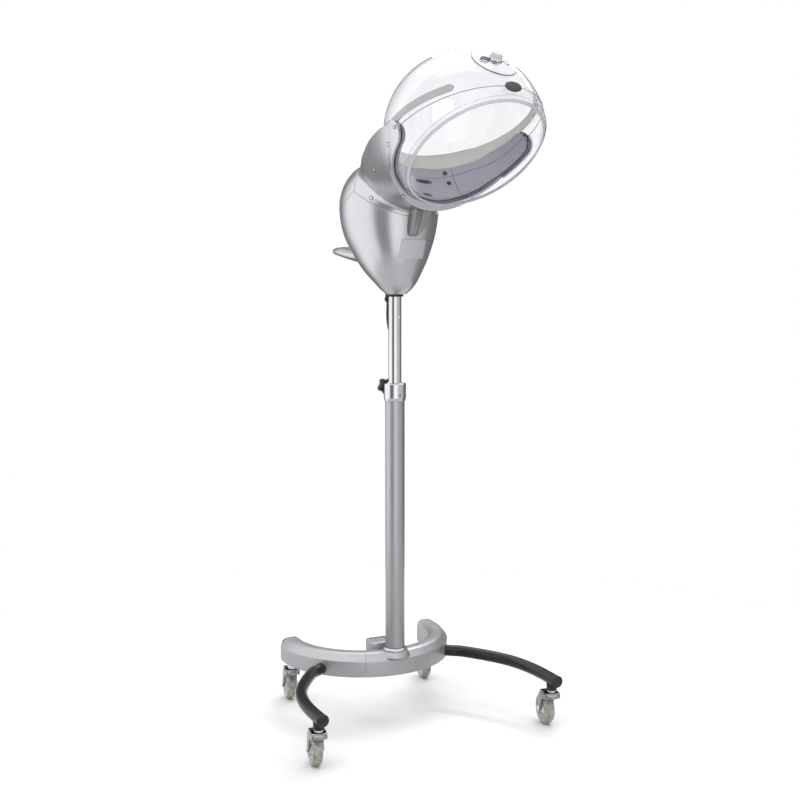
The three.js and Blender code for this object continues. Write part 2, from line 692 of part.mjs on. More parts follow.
const BALL_SEGMENTS = 32;
const hoodBall = (radius) => toHood(solid(ball(radius, BALL_SEGMENTS)));
const pinHole = alongPivot(PIN_RADIUS + GAP, -200, 200);
const skirt = body.intersect(aboveSkirt).intersect(beforeSeam);
const lowerZone = bodyClearance.intersect(joined(belowSkirt, behindSeam));
const cradleInside = hoodBall(CRADLE_INNER / Math.cos(Math.PI / BALL_SEGMENTS));
const yokeHollow = cut(yokeSolid(-BODY_WALL), hoodBall(CRADLE_OUTER));
const cradle = cut(
  joined(
    hoodBall(CRADLE_OUTER).intersect(wedge(CRADLE_FRONT_ANGLE, CRADLE_REAR_ANGLE, PIVOT_BOSS)),
    yokeSolid(0).intersect(behindFrontEdge), skirt,
  ),
  yokeHollow.intersect(solid(box(-300, 300, YOKE_HOLLOW_FRONT, 300, 600, 1500))),
  cradleInside, hollow, lowerZone, pinHole,
);
place(head, 'cradle_outer', cradle, SILVER);

const steamHoles = [-26, 22].map((x) => {
  const hole = rod(7, 120, 180, 16);
  hole.rotateX(degrees(90 + 140));
  hole.translate(x, HOOD_CENTRE.y, HOOD_CENTRE.z);
  return solid(hole);
});
place(head, 'cradle_liner', cut(
  hoodBall(LINER_OUTER).intersect(wedge(CRADLE_FRONT_ANGLE, LINER_REAR_ANGLE, 0)),
  hoodBall(LINER_INNER), alongPivot(PIVOT_BOSS + 3, -200, 200), ...steamHoles,
), LAVENDER);

for (const [name, side] of [['hood_pivot_left', -1], ['hood_pivot_right', 1]]) {
  const pin = turned([
    [0, 153], [7, 153], [7, 155.5], [PIN_RADIUS, 155.5], [PIN_RADIUS, CRADLE_OUTER + GAP],
    [6.5, CRADLE_OUTER + GAP], [6, CRADLE_OUTER + 2], [3, CRADLE_OUTER + 2.8],
    [0, CRADLE_OUTER + 2.8],
  ], 20);
  pin.rotateY(side * Math.PI / 2);
  pin.translate(0, HOOD_CENTRE.y, HOOD_CENTRE.z);
  place(head, name, pin, STEEL);
}

// Drip spout: a tongue under the neck that points down the front of the body.
const spoutSide = new THREE.Shape([
  [-112, 1112], [-124, 1100], [-121, 1080], [-112, 1062], [-101, 1049], [-92, 1045],
  [-84, 1050], [-84, 1112],
].map(([y, z]) => new THREE.Vector2(y, z)));
const spout = new THREE.ExtrudeGeometry(spoutSide, { depth: SPOUT_WIDTH, bevelEnabled: false });
spout.rotateX(Math.PI / 2);
spout.rotateZ(Math.PI / 2);
spout.translate(-SPOUT_WIDTH / 2 - SPOUT_SIDE_SHIFT, 0, 0);
place(head, 'drip_spout',
  cut(solid(mergeBare(spout)), bodySolid(3), yokeSolid(GAP), hoodBall(CRADLE_OUTER + GAP)), SILVER);

// ---------------------------------------------------------------- clear hood
// Pieces turned about an axis through the hood's centre, at an angle from straight ahead.
function aboutCentre(geometry, axisAngle, sideAngle = 0) {
  geometry.rotateY(degrees(sideAngle));
  geometry.rotateX(degrees(90 - axisAngle));
  geometry.translate(0, HOOD_CENTRE.y, HOOD_CENTRE.z);
  return geometry;
}

const VENT_HOLE_OFFSET = 24;
const VENT_HOLE_RADIUS = 10;
const ventHoles = [-1, 1].map((side) => {
  const hole = rod(VENT_HOLE_RADIUS, 140, 190, 20);
  hole.translate(side * VENT_HOLE_OFFSET, 0, 0);
  return solid(aboutCentre(hole, VENT_ANGLE, VENT_SIDE_ANGLE));
});
const SPINDLE_RADIUS = 3.4;
const ventSpindle = solid(
  aboutCentre(rod(SPINDLE_RADIUS + 0.5, 140, 190, 16), VENT_ANGLE, VENT_SIDE_ANGLE));
const domeZone = joined(
  pivotPlane(DOME_REAR_ANGLE + 180, true).intersect(pivotPlane(SEAM_ANGLE, true)),
  alongPivot(PIVOT_BOSS + 3, -200, 200),
);
place(head, 'dome', cut(
  hoodBall(DOME_RADIUS).intersect(domeZone),
  hoodBall(DOME_RADIUS - DOME_WALL), pinHole, ventSpindle, ...ventHoles,
), CLEAR);

// The visor is a turned ring, [radius, height along the opening axis], cut to a wedge.
const onSphere = (radius, height) => [Math.sqrt(radius ** 2 - height ** 2), height];
const visorHeights = [-44, -24, 0, 20, 37];
const visorRing = solid(aboutCentre(turned([
  ...visorHeights.map((height) => onSphere(DOME_RADIUS, height)),
  [152, 53.5], [143.2, 63.2], [140.7, 61.1], [149.6, 51.2],
  ...visorHeights.map((height) => onSphere(DOME_RADIUS - DOME_WALL, height)).reverse(),
], 36), -OPENING_TILT));
const seamShift = GAP / Math.cos(degrees(SEAM_ANGLE));
place(head, 'visor_ring', cut(
  visorRing
    .intersect(halfSpace(HOOD_CENTRE.y, HOOD_CENTRE.z - seamShift, -SEAM_ANGLE, false))
    .intersect(pivotPlane(VISOR_REAR_ANGLE + 180, false)),
  alongPivot(PIVOT_BOSS + 3 + GAP, -200, 200),
), CLEAR);

const BAND_START = 41;            // azimuth of its open ends, from straight ahead
const BAND_STEPS = 36;
const bandStations = Array.from({ length: BAND_STEPS + 1 }, (_, i) => (
  BAND_START + ((360 - 2 * BAND_START) * i) / BAND_STEPS));
const bandSection = [[152.8, -1], [155.8, -1], [155.8, 1], [152.8, 1]];
const bandHalf = THREE.MathUtils.radToDeg(BAND_WIDTH / 2 / DOME_RADIUS);
const band = loft(bandStations.map((azimuth) => bandSection.map(([radius, edge]) => {
  const polar = degrees(BAND_POLAR - edge * bandHalf);
  const around = degrees(azimuth);
  return new THREE.Vector3(
    radius * Math.sin(polar) * Math.sin(around),
    -radius * Math.sin(polar) * Math.cos(around),
    radius * Math.cos(polar));
})), bandSection.map(([radius, edge]) => new THREE.Vector2(radius, edge)));
place(head, 'steam_band', aboutCentre(band, BAND_AXIS_ANGLE), BAND);

const padOutline = new THREE.Shape(
  ellipseOutline(24).map((point) => new THREE.Vector2(point.x * 19.5, point.y * 11)));
const pad = new THREE.ExtrudeGeometry(padOutline, {
  depth: 2.4, bevelEnabled: true, bevelThickness: 1.4, bevelSize: 1.4, bevelOffset: -1.4,
  bevelSegments: 1,
});
pad.translate(0, 0, CRADLE_INNER + 1.2);
place(head, 'oval_pad', aboutCentre(facingOut(mergeBare(pad)), PAD_ANGLE, PAD_SIDE_ANGLE), PAD);

// Vent disc: a shallow cap that turns on a spindle to cover the dome's two holes.
const capAt = (radius, reach) => [reach, Math.sqrt(radius ** 2 - reach ** 2)];
const DISC_INNER = DOME_RADIUS + 0.8;
const DISC_OUTER = DISC_INNER + 2.4;
const reaches = [VENT_RADIUS, 35, 23, 11, 4.4];
const disc = aboutCentre(turned([
  ...reaches.map((reach) => capAt(DISC_INNER, reach)).reverse(),
  ...reaches.map((reach) => capAt(DISC_OUTER, reach)),
], 20), VENT_ANGLE, VENT_SIDE_ANGLE);
place(head, 'vent_disc', cut(solid(disc), ...ventHoles), CLEAR);
place(head, 'vent_knob', aboutCentre(turned([
  [0, 153.2], [6, 153.2], [6, 155.4], [SPINDLE_RADIUS, 155.4], [SPINDLE_RADIUS, DISC_OUTER + 0.4],
  [12, DISC_OUTER + 0.4], [12, DISC_OUTER + 4], [10, DISC_OUTER + 12], [8, DISC_OUTER + 13.5],
  [0, DISC_OUTER + 13.5],
], 20), VENT_ANGLE, VENT_SIDE_ANGLE), CLEAR);

// ---------------------------------------------------------------- origin
const bounds = new THREE.Box3().setFromObject(object, true);
const middle = bounds.getCenter(new THREE.Vector3());
object.position.set(-middle.x, -middle.y, -bounds.min.z);

export default object;
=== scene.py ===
"""Salon steamer: a clear hood on a silver head, a telescopic column and a horseshoe base on casters.

Shapes are written in millimetres in two local frames that share the column axis: STAND, and HEAD,
which is turned HEAD_YAW about that axis. Every mesh is then moved into the row frame, in metres.
"""
from math import acos, asin, atan2, ceil, copysign, cos, degrees, hypot, pi, radians, sin, sqrt, tan

import bmesh
import bpy
import numpy as np
from mathutils import Matrix, Vector
from mathutils.bvhtree import BVHTree


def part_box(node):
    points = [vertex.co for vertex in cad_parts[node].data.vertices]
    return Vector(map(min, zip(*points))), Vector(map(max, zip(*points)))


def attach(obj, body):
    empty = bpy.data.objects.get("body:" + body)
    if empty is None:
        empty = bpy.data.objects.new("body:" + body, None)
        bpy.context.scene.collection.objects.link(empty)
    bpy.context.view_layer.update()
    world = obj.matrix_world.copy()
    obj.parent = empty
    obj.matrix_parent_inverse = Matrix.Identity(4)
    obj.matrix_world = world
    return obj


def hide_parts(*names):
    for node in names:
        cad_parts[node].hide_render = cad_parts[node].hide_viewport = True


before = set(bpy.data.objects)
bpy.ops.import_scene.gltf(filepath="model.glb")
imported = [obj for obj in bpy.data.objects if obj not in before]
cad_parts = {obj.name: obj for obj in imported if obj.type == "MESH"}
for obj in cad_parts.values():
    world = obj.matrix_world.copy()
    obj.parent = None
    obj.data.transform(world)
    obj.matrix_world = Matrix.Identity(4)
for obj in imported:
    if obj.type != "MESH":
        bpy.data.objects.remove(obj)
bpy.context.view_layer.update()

# ---- dimensions, as in the CAD part
MM = 0.001
HEAD_YAW = 9.5
HOOD_Y, HOOD_Z = -240.0, 1244.0
DOME_RADIUS, DOME_WALL = 161.0, 3.0
OPENING_TILT = 50.5
SEAM_ANGLE = 27.0
VISOR_REAR_ANGLE = -136.0
CRADLE_INNER, CRADLE_OUTER = 165.5, 171.0
CRADLE_FRONT_ANGLE = -125.0
LINER_INNER, LINER_BACK = 150.0, 157.0
DOME_REAR_ANGLE = -160.0
PIVOT_BOSS = 12.0
BAND_AXIS_ANGLE, BAND_POLAR, BAND_WIDTH, BAND_START = 114.2, 80.8, 16.0, 41.0
BAND_INNER, BAND_OUTER = 152.8, 155.8
BAND_SPREAD, BAND_SPREAD_START = 7.6, 85.0
LINER_PATH_ANGLE, LINER_REACH = -139.5, 91.5
LINER_HALF_WIDTHS = [(0, 36.5), (15, 33), (33, 28.7), (50, 22.5), (70, 21.5), (91.5, 21.5)]
LINER_TUCK, LINER_TUCK_RADIUS = 3.6, 152.4
LINER_STEP_SHARES = [(0, 0.60), (42, 0.69), (62, 0.34), (86, 0.05), (91.5, 0.0)]
PAD_ANGLE, PAD_SIDE = 25.0, -1.7
VENT_ANGLE, VENT_SIDE, VENT_RADIUS = 52.0, -2.0, 46.0
VENT_HOLE_OFFSET, VENT_HOLE_RADIUS = 24.0, 10.0
SPINDLE_RADIUS = 3.4
SEAM_Y, SEAM_Z, SKIRT_SLOPE, REAR_SLOPE = 15.0, 1141.0, 27.9, -31.4
WHEEL_RADIUS, WHEEL_WIDTH = 33.5, 21.0
CASTER_TRAIL, CASTER_YAW, CASTER_TOP = 35.0, -10.0, 84.0
FRONT_CASTER, REAR_CASTER = (267.0, -214.0), (172.0, 177.5)
SHOE_RADIUS, SHOE_WIDTH, SHOE_BOTTOM, SHOE_TOP = 172.0, 46.0, 98.0, 148.0
SHOE_ARM_END, SHOE_SEAM_ANGLE = 190.0, 22.0
LEG_ANGLE, LEG_RADIUS, LEG_END_Y = 52.0, 12.5, -233.0
LEG_ROOT_Z, LEG_END_Z = 112.0, 107.0
COLUMN_RADIUS, COLUMN_TOP = 21.0, 726.0
COLLAR_BOTTOM, COLLAR_TOP, COLLAR_RADIUS = 694.0, 732.0, 24.0
MAST_RADIUS, MAST_BOTTOM, MAST_TOP = 14.0, 430.0, 1030.0
KNOB_START, KNOB_RADIUS, CLAMP_Z = 38.0, 19.5, 722.0
STOP_PIN_Z, GROMMET_Z, GLAND_Y = 874.0, 848.0, 27.0
LEAD_DIAMETER = 6.0
LEAD_ROUTE = [
    (0, 27, 904.6), (0, 27.3, 895), (0, 27.8, 884), (0, 27.6, 873), (0, 26, 862.5),
    (0, 23.4, 853), (0, 21.4, 848.8), (0, 19.2, 848),
]
BODY_SECTIONS = [  # height, half width, half depth, centre y
    (924, 20, 22, -4), (934, 31, 35, -3.5), (948, 42, 48, -1.5), (969, 56, 64, 5.5),
    (991, 68, 78, 10.5), (1016, 79, 91, 15), (1041, 88.5, 102, 19.5), (1066, 95, 109, 22),
    (1091, 98.5, 113, 23), (1120, 98.5, 114, 24), (1145, 95, 108, 23), (1168, 87, 97, 20),
    (1190, 72, 79, 15), (1203, 50, 54, 11), (1209, 26, 28, 9), (1211, 2, 2, 9),
]
BODY_POWER = 2.15
YOKE_SECTIONS = [  # y, half width, half height, centre z
    (15, 100, 138, 1244), (-25, 113, 144, 1244), (-55, 127, 147, 1244), (-100, 142, 148, 1244),
    (-150, 157, 150, 1244), (-200, 168, 158, 1244), (-252, 171, 168, 1244),
]
YOKE_BEND_Y, YOKE_BEND_Z, YOKE_TIP_SLOPE, YOKE_BACK_SLOPE = -150.0, 1245.0, -4.5, -23.5
HANDLE_SECTIONS = [  # y, half width, half thickness, centre z
    (70, 46, 17, 1006), (105, 44, 16, 1008), (140, 42, 14, 1012), (175, 39, 12, 1017),
    (197, 33, 10, 1019), (209, 22, 7, 1020), (214, 9, 4, 1020),
]

SIDES = ((-1, "left"), (1, "right"))



def turned(angle, axis):
    """A turn by an angle in degrees."""
    return Matrix.Rotation(radians(angle), 4, axis)


low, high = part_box("column_tube")
AXIS = (low + high) / 2
TO_AXIS = Matrix.Translation((AXIS.x, AXIS.y, 0))
AT_HOOD = Matrix.Translation((0, HOOD_Y, HOOD_Z))
STAND = TO_AXIS @ Matrix.Scale(MM, 4)
HEAD = TO_AXIS @ turned(HEAD_YAW, "Z") @ Matrix.Scale(MM, 4)


# ---- mesh helpers
def linked(name, data):
    """A new object of the scene that shows the data."""
    made = bpy.data.objects.new(name, data)
    bpy.context.scene.collection.objects.link(made)
    return made


def mesh_object(name, points, faces, place):
    """A mesh object from millimetre points in a local frame, welded and smoothed by angle."""
    mesh = bpy.data.meshes.new(name)
    mesh.from_pydata([tuple(p) for p in points], [], faces)
    return object_of(name, mesh, place)


def object_of(name, mesh, place):
    work = bmesh.new()
    work.from_mesh(mesh)
    bmesh.ops.remove_doubles(work, verts=work.verts, dist=0.002)
    bmesh.ops.recalc_face_normals(work, faces=work.faces)
    work.to_mesh(mesh)
    work.free()
    mesh.transform(place)
    thing = linked(name, mesh)
    smooth_by_angle(thing)
    return thing


def smooth_by_angle(thing, limit=38):
    """Smooth shading with a sharp edge wherever two faces meet at more than the limit."""
    work = bmesh.new()
    work.from_mesh(thing.data)
    for face in work.faces:
        face.smooth = True
    for edge in work.edges:
        bend = edge.calc_face_angle(0.0) if len(edge.link_faces) == 2 else pi
        edge.smooth = bend < radians(limit)
    work.to_mesh(thing.data)
    work.free()


def applied(thing):
    """The object with its modifiers made part of its mesh."""
    bpy.context.view_layer.update()
    shown = thing.evaluated_get(bpy.context.evaluated_depsgraph_get())
    mesh = bpy.data.meshes.new_from_object(shown)
    thing.modifiers.clear()
    thing.data = mesh
    return thing


def boolean(thing, tool):
    """Cuts the tool's shape out of the thing, and removes the tool."""
    step = thing.modifiers.new("boolean", "BOOLEAN")
    step.operation = "DIFFERENCE"
    step.solver = "EXACT"
    step.object = tool
    applied(thing)
    bpy.data.objects.remove(tool)
    smooth_by_angle(thing)
    return thing


def bevelled(thing, width, segments=3, angle=35):
    """Rounds every edge sharper than the angle; the width is in millimetres."""
    step = thing.modifiers.new("bevel", "BEVEL")
    step.width = width * MM
    step.segments = segments
    step.limit_method = "ANGLE"
    step.angle_limit = radians(angle)
    step.harden_normals = False
    applied(thing)
    smooth_by_angle(thing)
    return thing


def joined(name, *things):
    """One object from several."""
    work = bmesh.new()
    for thing in things:
        work.from_mesh(thing.data)
    mesh = bpy.data.meshes.new(name)
    work.to_mesh(mesh)
    work.free()
    for thing in things:
        bpy.data.objects.remove(thing)
    return linked(name, mesh)


def rounded(points, radius, closed=True, steps=5):
    """A flat outline whose corners are arcs. A point may carry its own radius as a third number."""
    count = len(points)
    out = []
    for i, point in enumerate(points):
        here = Vector(point[:2])
        reach = point[2] if len(point) > 2 else radius
        if (not closed and i in (0, count - 1)) or reach <= 0:
            out.append(tuple(here))
            continue
        before = Vector(points[i - 1][:2]) - here
        after = Vector(points[(i + 1) % count][:2]) - here
        half = before.angle(after) / 2
        if not radians(2) < half < radians(88):
            out.append(tuple(here))
            continue
        run = min(reach / tan(half), before.length * 0.49, after.length * 0.49)
        size = run * tan(half)
        centre = here + (before.normalized() + after.normalized()).normalized() * (size / sin(half))
        first = here + before.normalized() * run - centre
        last = here + after.normalized() * run - centre
        turn = first.angle_signed(last)
        for k in range(steps + 1):
            angle = -turn * k / steps
            c, s = cos(angle), sin(angle)
            out.append((centre.x + first.x * c - first.y * s, centre.y + first.x * s + first.y * c))
    return out


def lathe(name, profile, place, segments=72, turn=None):
    """A closed profile of (radius, height) turned about +Z; turn places the axis in the local frame."""
    rings = []
    for k in range(segments):
        c, s = cos(2 * pi * k / segments), sin(2 * pi * k / segments)
        rings.append([(r * c, r * s, z) for r, z in profile])
    return loft(name, rings, place @ (turn or Matrix.Identity(4)), loop=True)


def loft(name, rings, place, closed_ends=True, loop=False):
    """A skin over rings of equal point count."""
    count = len(rings[0])
    points = [p for ring in rings for p in ring]
    faces = []
    last = len(rings) if loop else len(rings) - 1
    for k in range(last):
        this, other = k * count, ((k + 1) % len(rings)) * count
        faces.extend((this + i, this + (i + 1) % count, other + (i + 1) % count, other + i)
                     for i in range(count))
    if closed_ends and not loop:
        faces.append(tuple(reversed(range(count))))
        faces.append(tuple(range((len(rings) - 1) * count, len(rings) * count)))
    return mesh_object(name, points, faces, place)


def extruded(name, outline, start, end, place, turn=None):
    """A flat outline in X and Y, pushed from start to end along Z."""
    rings = [[(x, y, z) for x, y in outline] for z in (start, end)]
    return loft(name, rings, place @ (turn or Matrix.Identity(4)))


def superellipse(count, power=2.0):
    out = []
    for k in range(count):
        c, s = cos(2 * pi * k / count), sin(2 * pi * k / count)
        out.append((copysign(abs(c) ** (2 / power), c), copysign(abs(s) ** (2 / power), s)))
    return out


def through(rows, steps):
    """A smooth curve through rows of numbers, with so many steps between each two."""
    rows = np.array(rows, float)
    padded = np.vstack([2 * rows[0] - rows[1], rows, 2 * rows[-1] - rows[-2]])
    out = []
    for k in range(1, len(rows)):
        a, b, c, d = padded[k - 1], padded[k], padded[k + 1], padded[k + 2]
        for t in np.arange(steps) / steps:
            out.append(0.5 * (2 * b + (c - a) * t + (2 * a - 5 * b + 4 * c - d) * t ** 2
                              + (3 * b - a - 3 * c + d) * t ** 3))
    out.append(rows[-1])
    return np.array(out)


def tube_rings(route, radius, sides=32):
    """Round rings along a route, each square to it, without twist."""
    route = [Vector(p) for p in route]
    rings = []
    side = None
    for k, point in enumerate(route):
        ahead = (route[min(k + 1, len(route) - 1)] - route[max(k - 1, 0)]).normalized()
        if side is None:
            side = ahead.cross(Vector((0, 0, 1))).normalized()
        side = (side - ahead * side.dot(ahead)).normalized()
        up = side.cross(ahead)
        rings.append([
            tuple(point + side * radius * cos(a) + up * radius * sin(a))
            for a in (2 * pi * i / sides for i in range(sides))])
    return rings


def plane_cut(thing, place, point, normal, fill=True):
    """Cuts away what lies on the normal's side of a plane, in the local frame."""
    world_point = place @ Vector(point)
    world_normal = place.to_3x3() @ Vector(normal)
    work = bmesh.new()
    work.from_mesh(thing.data)
    result = bmesh.ops.bisect_plane(
        work, geom=work.verts[:] + work.edges[:] + work.faces[:], dist=1e-7,
        plane_co=world_point, plane_no=world_normal.normalized(), clear_outer=True)
    if fill:
        edges = [e for e in result["geom_cut"] if isinstance(e, bmesh.types.BMEdge)]
        bmesh.ops.holes_fill(work, edges=edges, sides=0)
        bmesh.ops.recalc_face_normals(work, faces=work.faces)
    work.to_mesh(thing.data)
    work.free()
    smooth_by_angle(thing)
    return thing


def slope_plane(y, z, slope, above):
    """A plane through (0, y, z) that rises towards +Y by slope, as a point and the normal of its cut side."""
    a = radians(slope)
    sign = 1 if above else -1
    return (0, y, z), (0, -sin(a) * sign, cos(a) * sign)


def pivot_plane(angle, cut_above):
    """A plane through the pivot axis, at an angle from straight ahead."""
    return slope_plane(HOOD_Y, HOOD_Z, -angle, cut_above)


def around_hood(angle, side=0.0):
    """Turns +Z to point from the hood's centre at an angle from straight ahead."""
    return (AT_HOOD @ turned(90 - angle, "X")
            @ turned(side, "Y"))


def lune(name, outer, inner, start, end, across=72, along=72, trim=2.0):
    """A slice of a spherical shell between two half planes through the pivot axis, in degrees."""
    thetas = [radians(trim + (180 - 2 * trim) * j / across) for j in range(across + 1)]
    section = [(outer * cos(t), outer * sin(t)) for t in thetas]
    section += [(inner * cos(t), inner * sin(t)) for t in reversed(thetas)]
    turns = [radians(start + (end - start) * i / along) for i in range(along + 1)]
    rings = [[(x, HOOD_Y - reach * cos(phi), HOOD_Z + reach * sin(phi))
              for x, reach in section] for phi in turns]
    return loft(name, rings, HEAD)


# ---- materials
def feed(tree, socket, value):
    """Links another node's output to a socket, or sets the socket to a constant."""
    if isinstance(value, bpy.types.NodeSocket):
        tree.links.new(value, socket)
    else:
        socket.default_value = value


def node(tree, kind, **inputs):
    """A node with its inputs fed by name, a space in a name written as an underscore."""
    made = tree.nodes.new(kind)
    for key, value in inputs.items():
        feed(tree, made.inputs[key.replace("_", " ")], value)
    return made


def mixed(tree, first, second, factor=1.0, blend="MIX"):
    """A colour mix of two sockets or constants, as an output socket."""
    mix = tree.nodes.new("ShaderNodeMix")
    mix.data_type = "RGBA"
    mix.blend_type = blend
    color_inputs = [s for s in mix.inputs if s.type == "RGBA"]
    for socket, value in [(mix.inputs[0], factor), (color_inputs[0], first), (color_inputs[1], second)]:
        feed(tree, socket, value)
    return next(s for s in mix.outputs if s.type == "RGBA")


def material(name, color, roughness, metallic=0.0, variation=0.06, scale=40.0, detail=4.0,
             bump=0.0, bump_scale=400.0, stretch=(1, 1, 1), spread=0.08, speckle=None, **constants):
    """A Principled material whose colour, roughness and relief vary with noise in object space."""
    made = bpy.data.materials.new(name)
    made.use_nodes = True
    tree = made.node_tree
    shader = tree.nodes["Principled BSDF"]
    shader.inputs["Metallic"].default_value = metallic
    for key, value in constants.items():
        shader.inputs[key.replace("_", " ")].default_value = value
    place = tree.nodes.new("ShaderNodeTexCoord").outputs["Object"]
    place = node(tree, "ShaderNodeMapping", Scale=stretch, Vector=place).outputs["Vector"]
    cloud = node(tree, "ShaderNodeTexNoise", Scale=scale, Detail=detail, Roughness=0.6, Vector=place)
    ramp = node(tree, "ShaderNodeValToRGB", Fac=cloud.outputs["Fac"])
    for stop, position, change in zip(ramp.color_ramp.elements, (0.3, 0.7), (-variation, variation)):
        stop.position = position
        stop.color = (*[min(1, c * (1 + change)) for c in color], 1)
    paint = ramp.outputs["Color"]
    if speckle:
        cells = node(tree, "ShaderNodeTexVoronoi", Scale=speckle[0], Vector=place)
        level = node(tree, "ShaderNodeMapRange", From_Min=0.0, From_Max=0.9, To_Min=1 - speckle[1],
                     To_Max=1.0, Value=cells.outputs["Distance"])
        paint = mixed(tree, paint, level.outputs["Result"], blend="MULTIPLY")
    tree.links.new(paint, shader.inputs["Base Color"])
    rough = node(tree, "ShaderNodeMapRange", From_Min=0.25, From_Max=0.75,
                 To_Min=max(0.0, roughness * (1 - spread)), To_Max=min(1.0, roughness * (1 + spread)),
                 Value=cloud.outputs["Fac"])
    tree.links.new(rough.outputs["Result"], shader.inputs["Roughness"])
    if bump:
        grain = node(tree, "ShaderNodeTexNoise", Scale=bump_scale, Detail=3.0, Vector=place)
        relief = node(tree, "ShaderNodeBump", Strength=bump, Distance=0.0004,
                      Height=grain.outputs["Fac"])
        tree.links.new(relief.outputs["Normal"], shader.inputs["Normal"])
    return made


SILVER = material("silver_metallic_paint", (0.345, 0.345, 0.36), 0.27, metallic=0.85, variation=0.03,
                  scale=9, bump=0.03, bump_scale=900, speckle=(2600, 0.10),
                  Coat_Weight=0.25, Coat_Roughness=0.12)
SATIN = material("silver_satin_paint", (0.30, 0.30, 0.312), 0.42, metallic=0.7, variation=0.03,
                 scale=12, bump=0.05, bump_scale=800, speckle=(2600, 0.12))
COLUMN = material("satin_column_finish", (0.27, 0.27, 0.28), 0.38, metallic=0.9, variation=0.05,
                  scale=60, stretch=(14, 14, 0.5), bump=0.05, bump_scale=220)
CHROME = material("polished_chrome", (0.40, 0.40, 0.41), 0.06, metallic=1.0, variation=0.02,
                  scale=30, spread=0.4)
ZINC = material("zinc_plated_steel", (0.24, 0.24, 0.25), 0.24, metallic=1.0, variation=0.12,
                scale=160, bump=0.08, bump_scale=500, spread=0.35)
STEEL = material("brushed_steel", (0.55, 0.55, 0.56), 0.32, metallic=1.0, variation=0.08,
                 scale=120, bump=0.06, bump_scale=700)
BLACK_GLOSS = material("black_gloss_enamel", (0.010, 0.009, 0.009), 0.2, variation=0.2, scale=25,
                       bump=0.05, bump_scale=180, Specular_IOR_Level=0.22)
BLACK = material("black_moulded_plastic", (0.014, 0.014, 0.014), 0.42, variation=0.2, scale=60,
                 bump=0.12, bump_scale=1500, Specular_IOR_Level=0.25)
RUBBER = material("black_cable_rubber", (0.015, 0.015, 0.016), 0.55, variation=0.2, scale=90,
                  bump=0.15, bump_scale=1200)
LINER = material("lavender_grey_plastic", (0.29, 0.29, 0.335), 0.40, variation=0.05, scale=14,
                 bump=0.1, bump_scale=1300, spread=0.15)
# Near-black painted shade: discs and plates of it stand in for the shade inside screw recesses, liner holes,
# the steam slot, the drain window and the tongue's groove. It also colours the liner's seam line and the
# collar's grub screw.
RECESS_SHADE_AND_DARK_PARTS = material("painted_recess_shade_and_dark_parts", (0.035, 0.033, 0.04), 0.6, variation=0.2, scale=80,
                     bump=0.1, bump_scale=900)
ACRYLIC = material("clear_acrylic", (0.935, 0.93, 0.955), 0.02, variation=0.004, scale=6,
                   spread=0.5, Transmission_Weight=1.0, IOR=1.42)
# Grey copy of the clear acrylic: painted shade and reflection for polished edges seen end on.
ACRYLIC_EDGE_SHADE = material("acrylic_edge_painted_shade_and_reflection", (0.50, 0.50, 0.54), 0.16, variation=0.06, scale=40,
                Transmission_Weight=0.35, IOR=1.3)
# Darker grey copy of the clear acrylic: painted shade along the glued joint, the dial's rim and the rims of
# its holes, whose edges are seen end on; it also colours the gasket ring.
DARK_EDGE_SHADE = material("painted_shade_on_acrylic_joints_and_rims", (0.16, 0.16, 0.18), 0.25, variation=0.1, scale=60,
                     Transmission_Weight=0.3, IOR=1.3)
KNOB_CLEAR = material("frosted_clear_plastic", (0.62, 0.62, 0.66), 0.18, variation=0.08, scale=90,
                      bump=0.1, bump_scale=400, Transmission_Weight=0.6, IOR=1.45)
# The spout's paint is made darker than the silver to stand in for the shade that falls on the tongue: painted
# shade.
SHADED_SPOUT = material("spout_paint_with_painted_shade", (0.20, 0.20, 0.195), 0.34, metallic=0.75, variation=0.05,
                 scale=20, bump=0.04, bump_scale=900)
BAND = material("milky_band_plastic", (0.66, 0.64, 0.61), 0.35, variation=0.05, scale=30,
                bump=0.08, bump_scale=600, Transmission_Weight=0.25, IOR=1.4)
TYRE = material("translucent_polyurethane", (0.27, 0.265, 0.225), 0.26, variation=0.42, scale=130,
                detail=6, bump=0.25, bump_scale=320, Transmission_Weight=0.2, IOR=1.45)
HUB = material("pale_hub_plastic", (0.55, 0.55, 0.5), 0.4, variation=0.1, scale=120,
               bump=0.1, bump_scale=800)
PAD = material("dark_pad_rubber", (0.028, 0.022, 0.019), 0.6, variation=0.2, scale=120,
               bump=0.2, bump_scale=1400)
LABEL = material("silver_label_film", (0.32, 0.32, 0.35), 0.45, metallic=0.2, variation=0.03,
                 scale=50, stretch=(1, 1, 20))
INSERT = material("ribbed_grey_insert", (0.16, 0.16, 0.16), 0.55, variation=0.25, scale=150,
                  bump=0.4, bump_scale=500)
BOILER = material("boiler_shell_plastic", (0.5, 0.49, 0.46), 0.5, variation=0.08, scale=50,
                  bump=0.1, bump_scale=700)
FLOOR = material("pale_studio_floor", (0.56, 0.56, 0.56), 0.6, variation=0.004, scale=3)


def finish_piece(thing, look, body, replaces=()):
    """Gives a piece its material, its body and the CAD nodes it stands for."""
    thing.data.materials.clear()
    thing.data.materials.append(look)
    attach(thing, body)
    if replaces:
        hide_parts(*replaces)
    return thing


